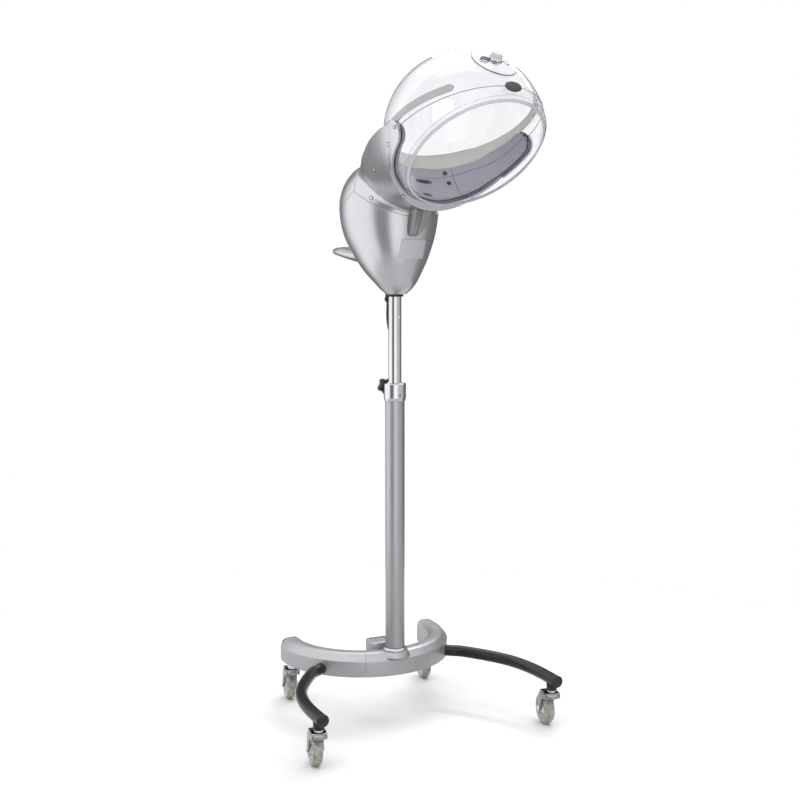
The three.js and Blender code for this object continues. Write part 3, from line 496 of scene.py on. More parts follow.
# ---- camera
CAMERA_AZIMUTH, CAMERA_DISTANCE, CAMERA_HEIGHT = -25.89, 2658.3, 950.2
CAMERA_PITCH, CAMERA_SIDE, CAMERA_LENS, CAMERA_SHIFT = 3.25, 11.0, 55.56, -0.06
azimuth = radians(CAMERA_AZIMUTH)
right_of_view = Vector((cos(azimuth), sin(azimuth), 0))
eye = Vector((sin(azimuth), -cos(azimuth), 0)) * CAMERA_DISTANCE
eye += right_of_view * CAMERA_SIDE + Vector((0, 0, CAMERA_HEIGHT))
camera = linked("camera", bpy.data.cameras.new("camera"))
camera.matrix_world = (Matrix.Translation(STAND @ eye) @ Matrix.Rotation(azimuth, 4, "Z")
                       @ turned(90 - CAMERA_PITCH, "X"))
camera.data.lens = CAMERA_LENS
camera.data.shift_y = CAMERA_SHIFT
camera.data.sensor_width = 36
camera.data.clip_end = 200
bpy.context.scene.camera = camera

# ---- lead between head and mast
lead_route = [HEAD @ Vector(p) for p in through(LEAD_ROUTE, 4)]
lead_curve = bpy.data.curves.new("head_lead_cord", "CURVE")
lead_curve.dimensions = "3D"
lead_curve.bevel_depth = LEAD_DIAMETER / 2 * MM
lead_curve.bevel_resolution = 6
lead_curve.use_fill_caps = True
spline = lead_curve.splines.new("POLY")
spline.points.add(len(lead_route) - 1)
for dot, point in zip(spline.points, lead_route):
    dot.co = (*point, 1)
lead = linked("head_lead_cord", lead_curve)
lead_curve.materials.append(RUBBER)
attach(lead, "head")
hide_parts("head_lead")

# ---- body of the head
body_rows = through(BODY_SECTIONS, 6)
body_outline = superellipse(128, BODY_POWER)


def body_surface(name, offset=0.0):
    rings = [[(x * max(0.1, hw + offset), cy + y * max(0.1, hd + offset), z) for x, y in body_outline]
             for z, hw, hd, cy in body_rows]
    return loft(name, rings, HEAD)


SEAM_HALF = 0.35
lower = body_surface("body_shell")
plane_cut(lower, HEAD, *slope_plane(SEAM_Y, SEAM_Z - SEAM_HALF, SKIRT_SLOPE, True))
plane_cut(lower, HEAD, *slope_plane(SEAM_Y, SEAM_Z - SEAM_HALF, REAR_SLOPE, True))
finish_piece(bevelled(lower, 0.8), SILVER, "head", ["body_lower_shell"])

cover = body_surface("body_rear_shell")
plane_cut(cover, HEAD, *slope_plane(SEAM_Y, SEAM_Z + SEAM_HALF, REAR_SLOPE, False))
plane_cut(cover, HEAD, (0, SEAM_Y + SEAM_HALF, 0), (0, -1, 0))
finish_piece(bevelled(cover, 0.8), SILVER, "head", ["body_rear_cover"])

finish_piece(
    lathe("neck_ring", rounded([(MAST_RADIUS + 0.4, 918.6), (17.5, 918.6), (18.5, 921), (18.5, 923.6),
                                (MAST_RADIUS + 0.4, 923.6)], 0.8), HEAD),
    BLACK, "head", ["bottom_ring"])

# ---- cradle and yoke
ball_segments = 128


def hood_ball(name, radius):
    profile = [(radius * sin(pi * k / 96), -radius * cos(pi * k / 96))
               for k in range(97)]
    return lathe(name, profile, HEAD, ball_segments,
                 AT_HOOD @ turned(90, "Y"))


VOXEL = 3.0
BLEND_ROUNDS = 90
SPARE = 22.0
YOKE_TOP = [(YOKE_BEND_Y, YOKE_BEND_Z, YOKE_TIP_SLOPE), (YOKE_BEND_Y, YOKE_BEND_Z - 6.0, -14.5),
            (YOKE_BEND_Y, YOKE_BEND_Z, YOKE_BACK_SLOPE)]


def cut_yoke_top(thing, spare):
    for y, z, slope in YOKE_TOP:
        plane_cut(thing, HEAD, *slope_plane(y, z + spare, slope, True))


skirt = body_surface("skirt")
plane_cut(skirt, HEAD, *slope_plane(SEAM_Y, SEAM_Z - SPARE, SKIRT_SLOPE, False))
plane_cut(skirt, HEAD, (0, SEAM_Y + SPARE, 0), (0, 1, 0))
yoke_rows = through([(SEAM_Y + SPARE, *YOKE_SECTIONS[0][1:])] + YOKE_SECTIONS, 5)
yoke_outline = superellipse(96)
yoke = loft("yoke", [[(x * hw, y, cz + z * hh) for x, z in yoke_outline]
                     for y, hw, hh, cz in yoke_rows], HEAD)
cut_yoke_top(yoke, SPARE)
bowl = hood_ball("bowl", CRADLE_OUTER)
plane_cut(bowl, HEAD, *pivot_plane(CRADLE_FRONT_ANGLE + 180 - 7, False))
cut_yoke_top(bowl, SPARE)
cradle = joined("cradle_shell", skirt, yoke, bowl)
remesh = cradle.modifiers.new("remesh", "REMESH")
remesh.mode = "VOXEL"
remesh.voxel_size = VOXEL * MM
relax = cradle.modifiers.new("relax", "SMOOTH")
relax.factor = 0.5
relax.iterations = BLEND_ROUNDS
applied(cradle)
plane_cut(cradle, HEAD, *pivot_plane(CRADLE_FRONT_ANGLE + 180, False))
cut_yoke_top(cradle, 0.0)
plane_cut(cradle, HEAD, (0, SEAM_Y - SEAM_HALF, 0), (0, 1, 0))
boolean(cradle, hood_ball("hollow", CRADLE_INNER))
under = body_surface("under", 4.0)
plane_cut(under, HEAD, *slope_plane(SEAM_Y, SEAM_Z + SEAM_HALF, SKIRT_SLOPE, True))
boolean(cradle, under)
bosses = [
    lathe("boss", rounded([(0, side * 162), (PIVOT_BOSS - 3, side * 162), (PIVOT_BOSS - 3, side * 168),
                           (0, side * 168)], 0.5),
          HEAD, 48,
          AT_HOOD @ turned(90, "Y"))
    for side in (-1, 1)]
cradle = joined("cradle_shell", cradle, *bosses)
smooth_by_angle(cradle)
finish_piece(cradle, SILVER, "head", ["cradle_outer"])

FLANK_SCREWS = [(-213, 1214), (-109, 1175), (-36, 1124)]  # y, z on each flank of the cradle
UNDER_SCREW_X, UNDER_SCREW_Y = 89, -154
cradle_surface = BVHTree.FromPolygons([v.co for v in cradle.data.vertices],
                                      [p.vertices for p in cradle.data.polygons])


def screw_seat(start, direction):
    """Where a line first meets the cradle, as a turn whose +Z points out of the surface."""
    turn = HEAD.to_3x3().normalized()
    spot, normal, _, _ = cradle_surface.ray_cast(HEAD @ Vector(start), turn @ Vector(direction))
    outward = (turn.inverted() @ normal).to_track_quat("Z", "Y")
    return Matrix.Translation(HEAD.inverted() @ spot) @ outward.to_matrix().to_4x4()


for side, name in SIDES:
    seats = [screw_seat((side * 300, y, z), (-side, 0, 0)) for y, z in FLANK_SCREWS]
    seats.append(screw_seat((side * UNDER_SCREW_X, UNDER_SCREW_Y, 900), (0, 0, 1)))
    for k, seat in enumerate(seats):
        # The dark disc round each screw head is painted shade in its recess.
        recess = rounded([(0, -1.5), (4.6, -1.5), (4.6, 0.25), (0, 0.25)], 0.2)
        finish_piece(lathe(f"screw_recess_{k}_{name}", recess, HEAD, 32, seat), RECESS_SHADE_AND_DARK_PARTS, "head")
        head = rounded([(0, -1), (2.9, -1), (2.7, 0.7), (0.8, 1.0), (0.6, 0.5), (0, 0.5)], 0.2)
        finish_piece(lathe(f"screw_head_{k}_{name}", head, HEAD, 32, seat), STEEL, "head")

# ---- cradle liner
path_angle = radians(LINER_PATH_ANGLE)
PATH_MIDDLE = Vector((0, -cos(path_angle), sin(path_angle)))
PATH_UP = Vector((0, -sin(path_angle), -cos(path_angle)))
HOOD_CENTRE = Vector((0, HOOD_Y, HOOD_Z))


def on_liner(along, up, radius):
    """A point at so many degrees right of the liner's middle and up across it."""
    a, b = radians(along), radians(up)
    around = Vector((1, 0, 0)) * sin(a) + PATH_MIDDLE * cos(a)
    return HOOD_CENTRE + (around * cos(b) + PATH_UP * sin(b)) * radius


def liner_half_width(along):
    """Half the liner's width in degrees, rounded off at both tips."""
    widths = np.interp(abs(along), *zip(*LINER_HALF_WIDTHS))
    half_width = degrees(widths / LINER_INNER)
    tip = degrees(LINER_HALF_WIDTHS[-1][1] / LINER_INNER)
    past = (abs(along) - (LINER_REACH - tip)) / tip
    return half_width * sqrt(max(0.0, 1 - max(0.0, past) ** 2))


def liner_step(along):
    """Where across the liner its step runs, in degrees."""
    return liner_half_width(along) * float(np.interp(abs(along), *zip(*LINER_STEP_SHARES)))


STRIP_INNER = 162.2
# Rounded silver tips that carry the two wings of the cradle past the pivots.
TIP_START, TIP_REACH, TIP_MARGIN, TIP_OUTER = 58.0, 92.5, 1.2, 170.6
for side, name in SIDES:
    tip_rings = []
    for k in range(49):
        along = TIP_START + (TIP_REACH - TIP_START) * sin(radians(90 * k / 48))
        squeezed = along * LINER_REACH / TIP_REACH * 0.9995
        reach = liner_half_width(squeezed) * (1 + TIP_MARGIN / 8.2)
        ups = [reach * (-1 + 2 * i / 12) for i in range(13)]
        tip_rings.append([on_liner(side * along, up, CRADLE_INNER) for up in ups]
                         + [on_liner(side * along, up, TIP_OUTER) for up in reversed(ups)])
    tip = bevelled(loft(f"wing_tip_{name}", tip_rings, HEAD), 1.6, 3)
    finish_piece(tip, SILVER, "head")
# A pale strip lines the cradle's edge, so that the slot for the clear shell stays narrow.
strip_rings = []
for k in range(121):
    along = (LINER_REACH - 1) * (-1 + 2 * k / 120)
    half_width = liner_half_width(along)
    ups = [-half_width + 1.5 * i / 3 for i in range(4)] + [-half_width + 1.5 + half_width * i / 4
                                                          for i in range(1, 5)]
    strip_rings.append([on_liner(along, up, STRIP_INNER) for up in ups]
                       + [on_liner(along, up, CRADLE_INNER - 0.2) for up in reversed(ups)])
finish_piece(loft("edge_strip", strip_rings, HEAD), LINER, "head")

STEP_DEPTH, GROOVE_HALF = 1.0, 0.28
liner_rings = []
for k in range(161):
    along = LINER_REACH * 0.9995 * sin(radians(-90 + 180 * k / 160))
    half_width, step = liner_half_width(along), liner_step(along)
    inner = [(-half_width + (step - GROOVE_HALF + half_width) * i / 12, LINER_INNER) for i in range(13)]
    inner += [(step - GROOVE_HALF, LINER_INNER + 2.4), (step + GROOVE_HALF, LINER_INNER + 2.4)]
    tuck = LINER_TUCK * min(1.0, max(0.0, (80 - abs(along)) / 20))
    top = half_width + tuck
    inner += [(step + GROOVE_HALF + (top - step - GROOVE_HALF) * i / 6,
               LINER_INNER + STEP_DEPTH) for i in range(7)]
    outer = [(top - (top - step) * i / 6, LINER_TUCK_RADIUS) for i in range(7)]
    outer += [(step - (half_width + step) * i / 12, LINER_BACK) for i in range(13)]
    liner_rings.append([on_liner(along, up, radius) for up, radius in inner + outer])
liner = loft("inner_liner", liner_rings, HEAD)


def liner_plate(name, points, depth, look, proud=0.25):
    """A thin plate let into the liner's inner face; points are (along, up) degrees."""
    layers = [[on_liner(a, u, LINER_INNER + out) for a, u in points] for out in (depth, -proud)]
    finish_piece(loft(name, layers, HEAD), look, "head")


def liner_oval(along, up, wide, tall, power=2.0, count=40):
    return [(along + x * wide, up + y * tall) for x, y in superellipse(count, power)]


HOLES = [(18.6, 11.4), (18.1, 1.6)]
for k, (along, up) in enumerate(HOLES):
    depth = 3.5 if up > liner_step(along) else 2.0
    liner_plate(f"hole_rim_{k}", liner_oval(along, up, 2.5, 2.5), depth, LINER)
    # A dark plate in each hole is painted shade for the hole's depth.
    liner_plate(f"hole_{k}", liner_oval(along, up, 2.0, 2.0), 1, RECESS_SHADE_AND_DARK_PARTS, 0.45)
# The steam slot and the drain window are dark plates behind the liner's face: painted shade where the
# openings are.
SLOT = (-4.6, 4.4, 8.2, 1.7)
liner_plate("steam_slot", liner_oval(*SLOT, power=5), 1.5, RECESS_SHADE_AND_DARK_PARTS)
for k in range(7):
    rib = liner_oval(SLOT[0] - 6.4 + 2.1 * k, SLOT[1], 0.42, 1.5, power=5, count=16)
    liner_plate(f"slot_bar_{k}", rib, 0.5, LINER, 0.7)
liner_plate("drain_window", liner_oval(-9.5, -11.3, 4.6, 1.5, power=6), 1.5, RECESS_SHADE_AND_DARK_PARTS)
PANEL_SEAM = [(25.0, 13.0), (23.6, 4.0), (22.6, -6.0), (22.0, -13.2)]
seam_line = tube_rings([on_liner(a, u, LINER_INNER + (STEP_DEPTH if u > liner_step(a) else 0) - 0.1)
                        for a, u in through(PANEL_SEAM, 4)], 0.45, 10)
finish_piece(loft("panel_seam", seam_line, HEAD), RECESS_SHADE_AND_DARK_PARTS, "head")
finish_piece(liner, LINER, "head", ["cradle_liner"])

# ---- clear hood
dome = lune("clear_dome", DOME_RADIUS, DOME_RADIUS - DOME_WALL, SEAM_ANGLE, 360 + DOME_REAR_ANGLE,
            across=128, along=128, trim=1.4)
vent_axis = around_hood(VENT_ANGLE, VENT_SIDE)


def drilled(thing, radius, offset, segments=48):
    """A round hole through the top of the hood, at an offset from the vent's axis."""
    profile = [(0, 140), (radius, 140), (radius, 190), (0, 190)]
    boolean(thing, lathe("drill", profile, HEAD, segments,
                         vent_axis @ Matrix.Translation((offset, 0, 0))))


drilled(dome, VENT_HOLE_RADIUS, -VENT_HOLE_OFFSET)
drilled(dome, VENT_HOLE_RADIUS, VENT_HOLE_OFFSET)
drilled(dome, SPINDLE_RADIUS + 0.4, 0, 32)
finish_piece(dome, ACRYLIC, "hood", ["dome"])


def on_ball(radius, height):
    return sqrt(radius ** 2 - height ** 2), height


visor_axis = around_hood(-OPENING_TILT)
VISOR_EDGE_HEIGHT = 37.0
VISOR_LIP = rounded([on_ball(DOME_RADIUS, VISOR_EDGE_HEIGHT), (152, 53.5, 2.5), (147.6, 58.3, 0),
                     (145.2, 56.1, 0), (149.6, 51.2, 2),
                     on_ball(DOME_RADIUS - DOME_WALL, VISOR_EDGE_HEIGHT)], 1.0, closed=False)
top_limit = tan(radians(SEAM_ANGLE + OPENING_TILT))
rear_limit = tan(radians(-VISOR_REAR_ANGLE - OPENING_TILT))
visor_rings = []
for k in range(192):
    around = 2 * pi * (k + 0.5) / 192
    rise = sin(around)
    start = atan2(top_limit if rise > 0 else rear_limit, abs(rise))
    profile = []
    for radius, rising in ((DOME_RADIUS, True), (DOME_RADIUS - DOME_WALL, False)):
        end = acos(VISOR_EDGE_HEIGHT / radius)
        steps = [start + (end - start) * i / 14 for i in range(14)]
        arc = [(radius * sin(p), radius * cos(p)) for p in steps]
        profile += arc + VISOR_LIP if rising else arc[::-1]
    visor_rings.append([(r * cos(around), r * sin(around), h) for r, h in profile])
visor = loft("clear_visor", visor_rings, HEAD @ visor_axis, loop=True)
finish_piece(visor, ACRYLIC, "hood", ["visor_ring"])
# The rolled lip of the opening, the fold of its flange and the glued joint with the dome show as grey lines,
# because their polished edges are seen end on; that grey is painted into their colour as painted shade and
# reflection.
lip_ring = lathe("visor_lip", rounded([(147.4, 58.4), (143.2, 63.2, 1.4), (140.7, 61.1, 1.4),
                                       (145.1, 56.2)], 0.5), HEAD, 180, visor_axis)
finish_piece(lip_ring, ACRYLIC_EDGE_SHADE, "hood")


def bead(name, axis, radius_at, height, thickness):
    profile = [(radius_at + thickness * x, height + thickness * z) for x, z in superellipse(14)]
    return lathe(name, profile, HEAD, 180, axis)


finish_piece(bead("flange_fold", visor_axis, 152.3, 53.2, 0.55), ACRYLIC_EDGE_SHADE, "hood")
seam_turn = radians(SEAM_ANGLE)
joint_route = [HOOD_CENTRE + Vector((
    cos(t), -sin(t) * cos(seam_turn), sin(t) * sin(seam_turn))) * 160.9
    for t in (radians(2 + 176 * k / 96) for k in range(97))]
finish_piece(loft("dome_joint", tube_rings(joint_route, 0.75, 12), HEAD), DARK_EDGE_SHADE, "hood")

# ---- steam band
band_half = degrees(BAND_WIDTH / 2 / DOME_RADIUS)
band_rings = []
END_ROUNDING = 2.85
for k in range(121):
    azimuth_here = BAND_START + (360 - 2 * BAND_START) * k / 120
    from_end = min(azimuth_here - BAND_START, 360 - BAND_START - azimuth_here)
    share = 1.0
    if from_end < END_ROUNDING:
        share = sqrt(max(0.0, 1 - (1 - from_end / END_ROUNDING) ** 2))
    to_rear = min(azimuth_here, 360 - azimuth_here) - BAND_SPREAD_START
    spread = BAND_SPREAD * sin(radians(90 * max(0.0, to_rear) / (180 - BAND_SPREAD_START)))
    ring = []
    for radius, edge in [(BAND_INNER, -1), (BAND_OUTER, -1), (BAND_OUTER, 1), (BAND_INNER, 1)]:
        below = spread if edge < 0 else 0.0
        polar = radians(BAND_POLAR - edge * (band_half * max(share, 0.03) + below))
        around = radians(azimuth_here)
        ring.append((radius * sin(polar) * sin(around),
                     -radius * sin(polar) * cos(around), radius * cos(polar)))
    band_rings.append(ring)
band = loft("milky_band", band_rings, HEAD @ around_hood(BAND_AXIS_ANGLE))
finish_piece(bevelled(band, 0.6, 2), BAND, "head", ["steam_band"])

# ---- pad and vent dial
pad_rings = []
for height, size in [(166.7, 0.93), (167.2, 0.985), (168.2, 1.0), (169.4, 0.97), (170.1, 0.9),
                     (170.6, 0.75), (170.9, 0.4), (171.0, 0.02)]:
    pad_rings.append([(x * 19.5 * size, y * 11 * size, height) for x, y in superellipse(64, 2.1)])
pad = loft("crown_pad", pad_rings, HEAD @ around_hood(PAD_ANGLE, PAD_SIDE))
finish_piece(pad, PAD, "hood", ["oval_pad"])

DISC_INNER = DOME_RADIUS + 0.8
DISC_OUTER = DISC_INNER + 2.4
disc_steps = [VENT_RADIUS - (VENT_RADIUS - 4.4) * k / 16 for k in range(17)]


def cap_at(radius, reach):
    return reach, sqrt(radius ** 2 - reach ** 2)


disc = lathe("vent_dial", [cap_at(DISC_OUTER, r) for r in disc_steps]
             + [cap_at(DISC_INNER, r) for r in reversed(disc_steps)], HEAD, 96, vent_axis)
drilled(disc, VENT_HOLE_RADIUS, -VENT_HOLE_OFFSET)
drilled(disc, VENT_HOLE_RADIUS, VENT_HOLE_OFFSET)
finish_piece(disc, ACRYLIC, "vent", ["vent_disc"])
rim_at = cap_at((DISC_INNER + DISC_OUTER) / 2, VENT_RADIUS + 0.1)
# The dial's rim and its holes' rims are dark beads: painted shade for edges seen end on.
finish_piece(bead("vent_dial_rim", vent_axis, *rim_at, 0.9), DARK_EDGE_SHADE, "vent")
finish_piece(bead("vent_gasket", vent_axis, 13.5, DISC_OUTER + 0.3, 0.9), DARK_EDGE_SHADE, "vent")
for side, name in SIDES:
    height = cap_at(DISC_OUTER, VENT_HOLE_OFFSET)[1] - 0.2
    hole_axis = vent_axis @ Matrix.Translation((side * VENT_HOLE_OFFSET, 0, height)) @ Matrix.Rotation(
        asin(side * VENT_HOLE_OFFSET / DISC_OUTER), 4, "Y")
    finish_piece(bead(f"vent_hole_rim_{name}", hole_axis, VENT_HOLE_RADIUS, 0, 0.7), DARK_EDGE_SHADE, "vent")

knob_profile = rounded([
    (0, 153.2), (6, 153.2), (6, 155.4), (SPINDLE_RADIUS, 155.4), (SPINDLE_RADIUS, DISC_OUTER + 0.4),
    (12, DISC_OUTER + 0.4), (12, DISC_OUTER + 4), (10, DISC_OUTER + 12), (8, DISC_OUTER + 13.5),
    (0, DISC_OUTER + 13.5)], 0.8)
vent_knob = lathe("vent_grip", knob_profile, HEAD, 96, vent_axis)
KNOB_FLUTES = 12
for point in vent_knob.data.vertices:
    local = (HEAD @ vent_axis).inverted() @ point.co
    if local.z > DISC_OUTER + 2 and hypot(local.x, local.y) > 6:
        shrink = 1 - 0.07 * (1 + cos(KNOB_FLUTES * atan2(local.y, local.x))) / 2
        point.co = HEAD @ vent_axis @ Vector((local.x * shrink, local.y * shrink, local.z))
finish_piece(vent_knob, KNOB_CLEAR, "vent", ["vent_knob"])

# ---- column, clamp and mast
finish_piece(
    lathe("mast", rounded([(12.5, MAST_BOTTOM), (MAST_RADIUS, MAST_BOTTOM), (MAST_RADIUS, MAST_TOP),
                           (12.5, MAST_TOP)], 0.5), HEAD, 96),
    CHROME, "head", ["mast_tube"])
finish_piece(
    lathe("column", rounded([(19, SHOE_TOP + 0.3), (COLUMN_RADIUS, SHOE_TOP + 0.3),
                             (COLUMN_RADIUS, COLUMN_TOP), (19, COLUMN_TOP)], 0.5), STAND, 96),
    COLUMN, "stand", ["column_tube"])
finish_piece(
    lathe("flange", rounded([(COLUMN_RADIUS + 0.3, SHOE_TOP + 0.3), (26.3, SHOE_TOP + 0.3),
                             (26.3, SHOE_TOP + 3.5, 1.5), (23.5, SHOE_TOP + 7.3, 1.8),
                             (COLUMN_RADIUS + 0.3, SHOE_TOP + 7.3)], 0.6), STAND, 96),
    SILVER, "stand", ["column_flange"])
collar = lathe("collar", rounded([
    (COLUMN_RADIUS + 0.3, COLLAR_BOTTOM), (COLUMN_RADIUS + 1.2, COLLAR_BOTTOM, 0.4),
    (COLLAR_RADIUS, COLLAR_BOTTOM + 7, 9), (COLLAR_RADIUS, COLLAR_TOP, 2.2),
    (MAST_RADIUS + 5, COLLAR_TOP, 1), (MAST_RADIUS + 4, COLLAR_TOP - 1.2, 1),
    (MAST_RADIUS + 0.7, COLLAR_TOP - 1.2), (MAST_RADIUS + 0.7, COLUMN_TOP + 0.3),
    (COLUMN_RADIUS + 0.3, COLUMN_TOP + 0.3)], 0.3, steps=6), STAND, 96)
finish_piece(collar, CHROME, "stand", ["clamp_collar"])
to_front = turned(90, "X")
to_back = turned(-90, "X")
screw = lathe("grub_screw", rounded([(0, 22.6), (3, 22.6), (3, 24.2), (1.8, 24.2), (1.6, 23.4),
                                     (0, 23.4)], 0.1), STAND, 32,
              Matrix.Translation((0, 0, COLLAR_BOTTOM + 13)) @ to_front)
finish_piece(screw, RECESS_SHADE_AND_DARK_PARTS, "stand", ["collar_set_screw"])

LOBES = 5
knob_rings = []
for depth, size in [(0, 0.80), (1, 0.90), (2.5, 0.97), (5, 1.0), (11, 1.0), (13.5, 0.96), (15, 0.88),
                    (16, 0.74)]:
    ring = []
    for k in range(120):
        a = 2 * pi * k / 120
        radius = KNOB_RADIUS * size * (0.87 + 0.13 * cos(LOBES * a))
        ring.append((radius * sin(a), radius * cos(a), KNOB_START + depth))
    knob_rings.append(ring)
knob = loft("star_grip", knob_rings, STAND @ Matrix.Translation((0, 0, CLAMP_Z)) @ to_back)
stem = lathe("stem", rounded([(0, COLLAR_RADIUS + 0.4), (4, COLLAR_RADIUS + 0.4), (4, 33), (9, 34),
                              (9, 39), (0, 39)], 0.6), STAND, 40,
             Matrix.Translation((0, 0, CLAMP_Z)) @ to_back)
boss = lathe("boss", rounded([(0, KNOB_START + 15), (6, KNOB_START + 15), (6, KNOB_START + 15.8),
                              (0, KNOB_START + 15.8)], 0.3), STAND, 40,
             Matrix.Translation((0, 0, CLAMP_Z)) @ to_back)
knob = joined("star_grip", knob, stem, boss)
smooth_by_angle(knob)
finish_piece(knob, BLACK, "clamp", ["clamp_knob"])

pin = lathe("stop_button", rounded([(0, MAST_RADIUS + 0.2), (3, MAST_RADIUS + 0.2),
                                    (3, MAST_RADIUS + 1.2), (2, MAST_RADIUS + 2),
                                    (0, MAST_RADIUS + 2)], 0.3), HEAD, 32,
            Matrix.Translation((0, 0, STOP_PIN_Z)) @ to_front)
finish_piece(pin, STEEL, "head", ["stop_pin"])
grommet = lathe("lead_grommet", rounded([(0, MAST_RADIUS + 0.3), (6.5, MAST_RADIUS + 0.3),
                                         (6.5, MAST_RADIUS + 2), (4.5, MAST_RADIUS + 4),
                                         (0, MAST_RADIUS + 4)], 0.6), HEAD, 40,
                Matrix.Translation((0, 0, GROMMET_Z)) @ to_back)
finish_piece(grommet, RUBBER, "head", ["cable_grommet"])
gland = lathe("cord_gland", rounded([
    (0, 905), (3.6, 905), (5, 909), (7, 910), (7, 916), (5.4, 917), (5.4, 945), (0, 945)], 0.5),
    HEAD, 48, Matrix.Translation((0, GLAND_Y, 0)))
finish_piece(gland, BLACK, "head", ["lead_gland"])

# ---- handle, label and spout
handle_rows = through(HANDLE_SECTIONS, 5)
handle = loft("grip_paddle", [[(x * hw, y, cz + z * ht) for x, z in superellipse(64, 2.4)]
                              for y, hw, ht, cz in handle_rows], HEAD)
boolean(handle, body_surface("under", 0.3))
finish_piece(handle, SILVER, "head", ["rear_handle"])

label = body_surface("plain_label", 0.9)
for point, normal in [((-36, 0, 0), (-1, 0, 0)), ((24, 0, 0), (1, 0, 0)), ((0, 0, 0), (0, 1, 0)),
                      ((0, 0, 999), (0, 0, -1)), ((0, 0, 1038), (0, 0, 1))]:
    plane_cut(label, HEAD, point, normal, fill=False)
finish_piece(label, LABEL, "head", ["rating_plate"])

SPOUT_SECTIONS = [  # height, left, right, front, back
    (1114, -25, 9, -110, -84), (1101, -26, 9, -122, -84), (1090, -26.5, 7, -122.5, -84),
    (1078, -27, 3.5, -119, -84), (1064, -27, -1, -112.5, -84), (1053, -26, -5, -104, -84),
    (1047, -24, -8, -98, -85), (1045, -21, -11, -95, -87)]
spout_rings = []
for z, left, right, front, back in through(SPOUT_SECTIONS, 5):
    spout_rings.append([(x, y, z) for x, y in rounded(
        [(left, back), (right, back), (right, front), (left + 8, front), (left, front + 10)], 2.6)])
# The tongue is coloured with the darkened spout paint, painted shade.
finish_piece(loft("drip_tongue", spout_rings, HEAD), SHADED_SPOUT, "head", ["drip_spout"])
# The groove down the tongue is a dark tube: painted shade in the groove.
groove = [(left + 8.4, front - 0.1, z) for z, left, right, front, back
          in through(SPOUT_SECTIONS[1:-1], 5)]
finish_piece(loft("tongue_groove", tube_rings(groove, 0.9, 12), HEAD), RECESS_SHADE_AND_DARK_PARTS, "head")

# ---- pivots
for side, name in SIDES:
    screw = lathe(f"pivot_screw_{name}", rounded([
        (0, 154.6), (5, 154.6), (5, 155.8), (4, 155.8), (4, CRADLE_OUTER + 0.3),
        (4.6, CRADLE_OUTER + 0.3), (4.2, CRADLE_OUTER + 1.2), (0, CRADLE_OUTER + 1.4)], 0.3), HEAD, 40,
        AT_HOOD @ turned(side * 90, "Y"))
    finish_piece(screw, SATIN, "head", [f"hood_pivot_{name}"])


# ---- horseshoe base
def shoe_stations(start, end, step=2.0):
    """Middle points of the band and their angle, with straight arms past a quarter turn."""
    stations = []
    if start < -90:
        stations.append((-SHOE_RADIUS, SHOE_ARM_END, -90.0))
    first, last = max(start, -90), min(end, 90)
    count = ceil((last - first) / step)
    for k in range(count + 1):
        a = first + (last - first) * k / count
        stations.append((SHOE_RADIUS * sin(radians(a)),
                         SHOE_RADIUS - SHOE_RADIUS * cos(radians(a)), a))
    if end > 90:
        stations.append((SHOE_RADIUS, SHOE_ARM_END, 90.0))
    return stations


def along_shoe(name, section, start, end):
    rings = [[(x + s * sin(radians(a)), y - s * cos(radians(a)), z)
              for s, z in section] for x, y, a in shoe_stations(start, end)]
    return loft(name, rings, STAND)


half = SHOE_WIDTH / 2
RIDGE_Z = 132.0
shoe_outer = [(half, SHOE_BOTTOM, 1), (half, RIDGE_Z, 3), (half - 11, 145, 7), (half - 17, SHOE_TOP, 10),
              (-half, SHOE_TOP, 15), (-half, SHOE_BOTTOM, 1)]
shoe_inner = [(-half + 3, SHOE_BOTTOM, 0.6), (-half + 3, SHOE_TOP - 3, 12), (half - 18, SHOE_TOP - 3, 8),
              (half - 13, 142, 6), (half - 3, RIDGE_Z - 2, 3), (half - 3, SHOE_BOTTOM, 0.6)]
shoe_section = rounded(shoe_outer + shoe_inner, 2.0, steps=6)
PAST = 100
SEAM = 0.15
for name, start, end, stood in (
        ("shoe_left", -PAST, -SHOE_SEAM_ANGLE - SEAM, "base_cover_left"),
        ("shoe_middle", -SHOE_SEAM_ANGLE, SHOE_SEAM_ANGLE, "base_cover_middle"),
        ("shoe_right", SHOE_SEAM_ANGLE + SEAM, PAST, "base_cover_right")):
    finish_piece(along_shoe(name, shoe_section, start, end), SATIN, "stand", [stood])

seat = lathe("column_seat", rounded([
    (0, 136), (34, 136, 1), (30.5, 143, 8), (28, 148.1, 2), (0, 148.1)], 0.5, steps=6), STAND, 96)
finish_piece(seat, SATIN, "stand")

for side, name in SIDES:
    outline = rounded([(side * SHOE_RADIUS + x * 0.86, 2 + z * 0.985, r) for x, z, r in (
        (-half, SHOE_BOTTOM, 1), (half, SHOE_BOTTOM, 1), (half, SHOE_TOP - 1, 14),
        (-half, SHOE_TOP - 1, 14))], 1)
    cap = extruded(f"arm_cap_{name}", outline, -SHOE_ARM_END - 3.3, -SHOE_ARM_END - 0.3, STAND,
                   turned(90, "X"))
    finish_piece(bevelled(cap, 1.0), BLACK, "stand", [f"base_end_cap_{name}"])

# Block behind the column, with a sunk insert.
block = extruded("back_block", rounded([(-38, 30), (38, 30), (38, 78), (-38, 78)], 9), 99, 158, STAND)
bevelled(block, 4.0, 4)
boolean(block, extruded("drill", rounded([(-32, 36), (32, 36), (32, 72), (-32, 72)], 4), 154, 165, STAND))
finish_piece(block, SATIN, "stand", ["rear_block"])
insert = extruded("back_insert", rounded([(-31.7, 36.3), (31.7, 36.3), (31.7, 71.7), (-31.7, 71.7)], 4),
                  154.3, 157, STAND)
finish_piece(bevelled(insert, 0.8), INSERT, "stand", ["rear_block_pad"])


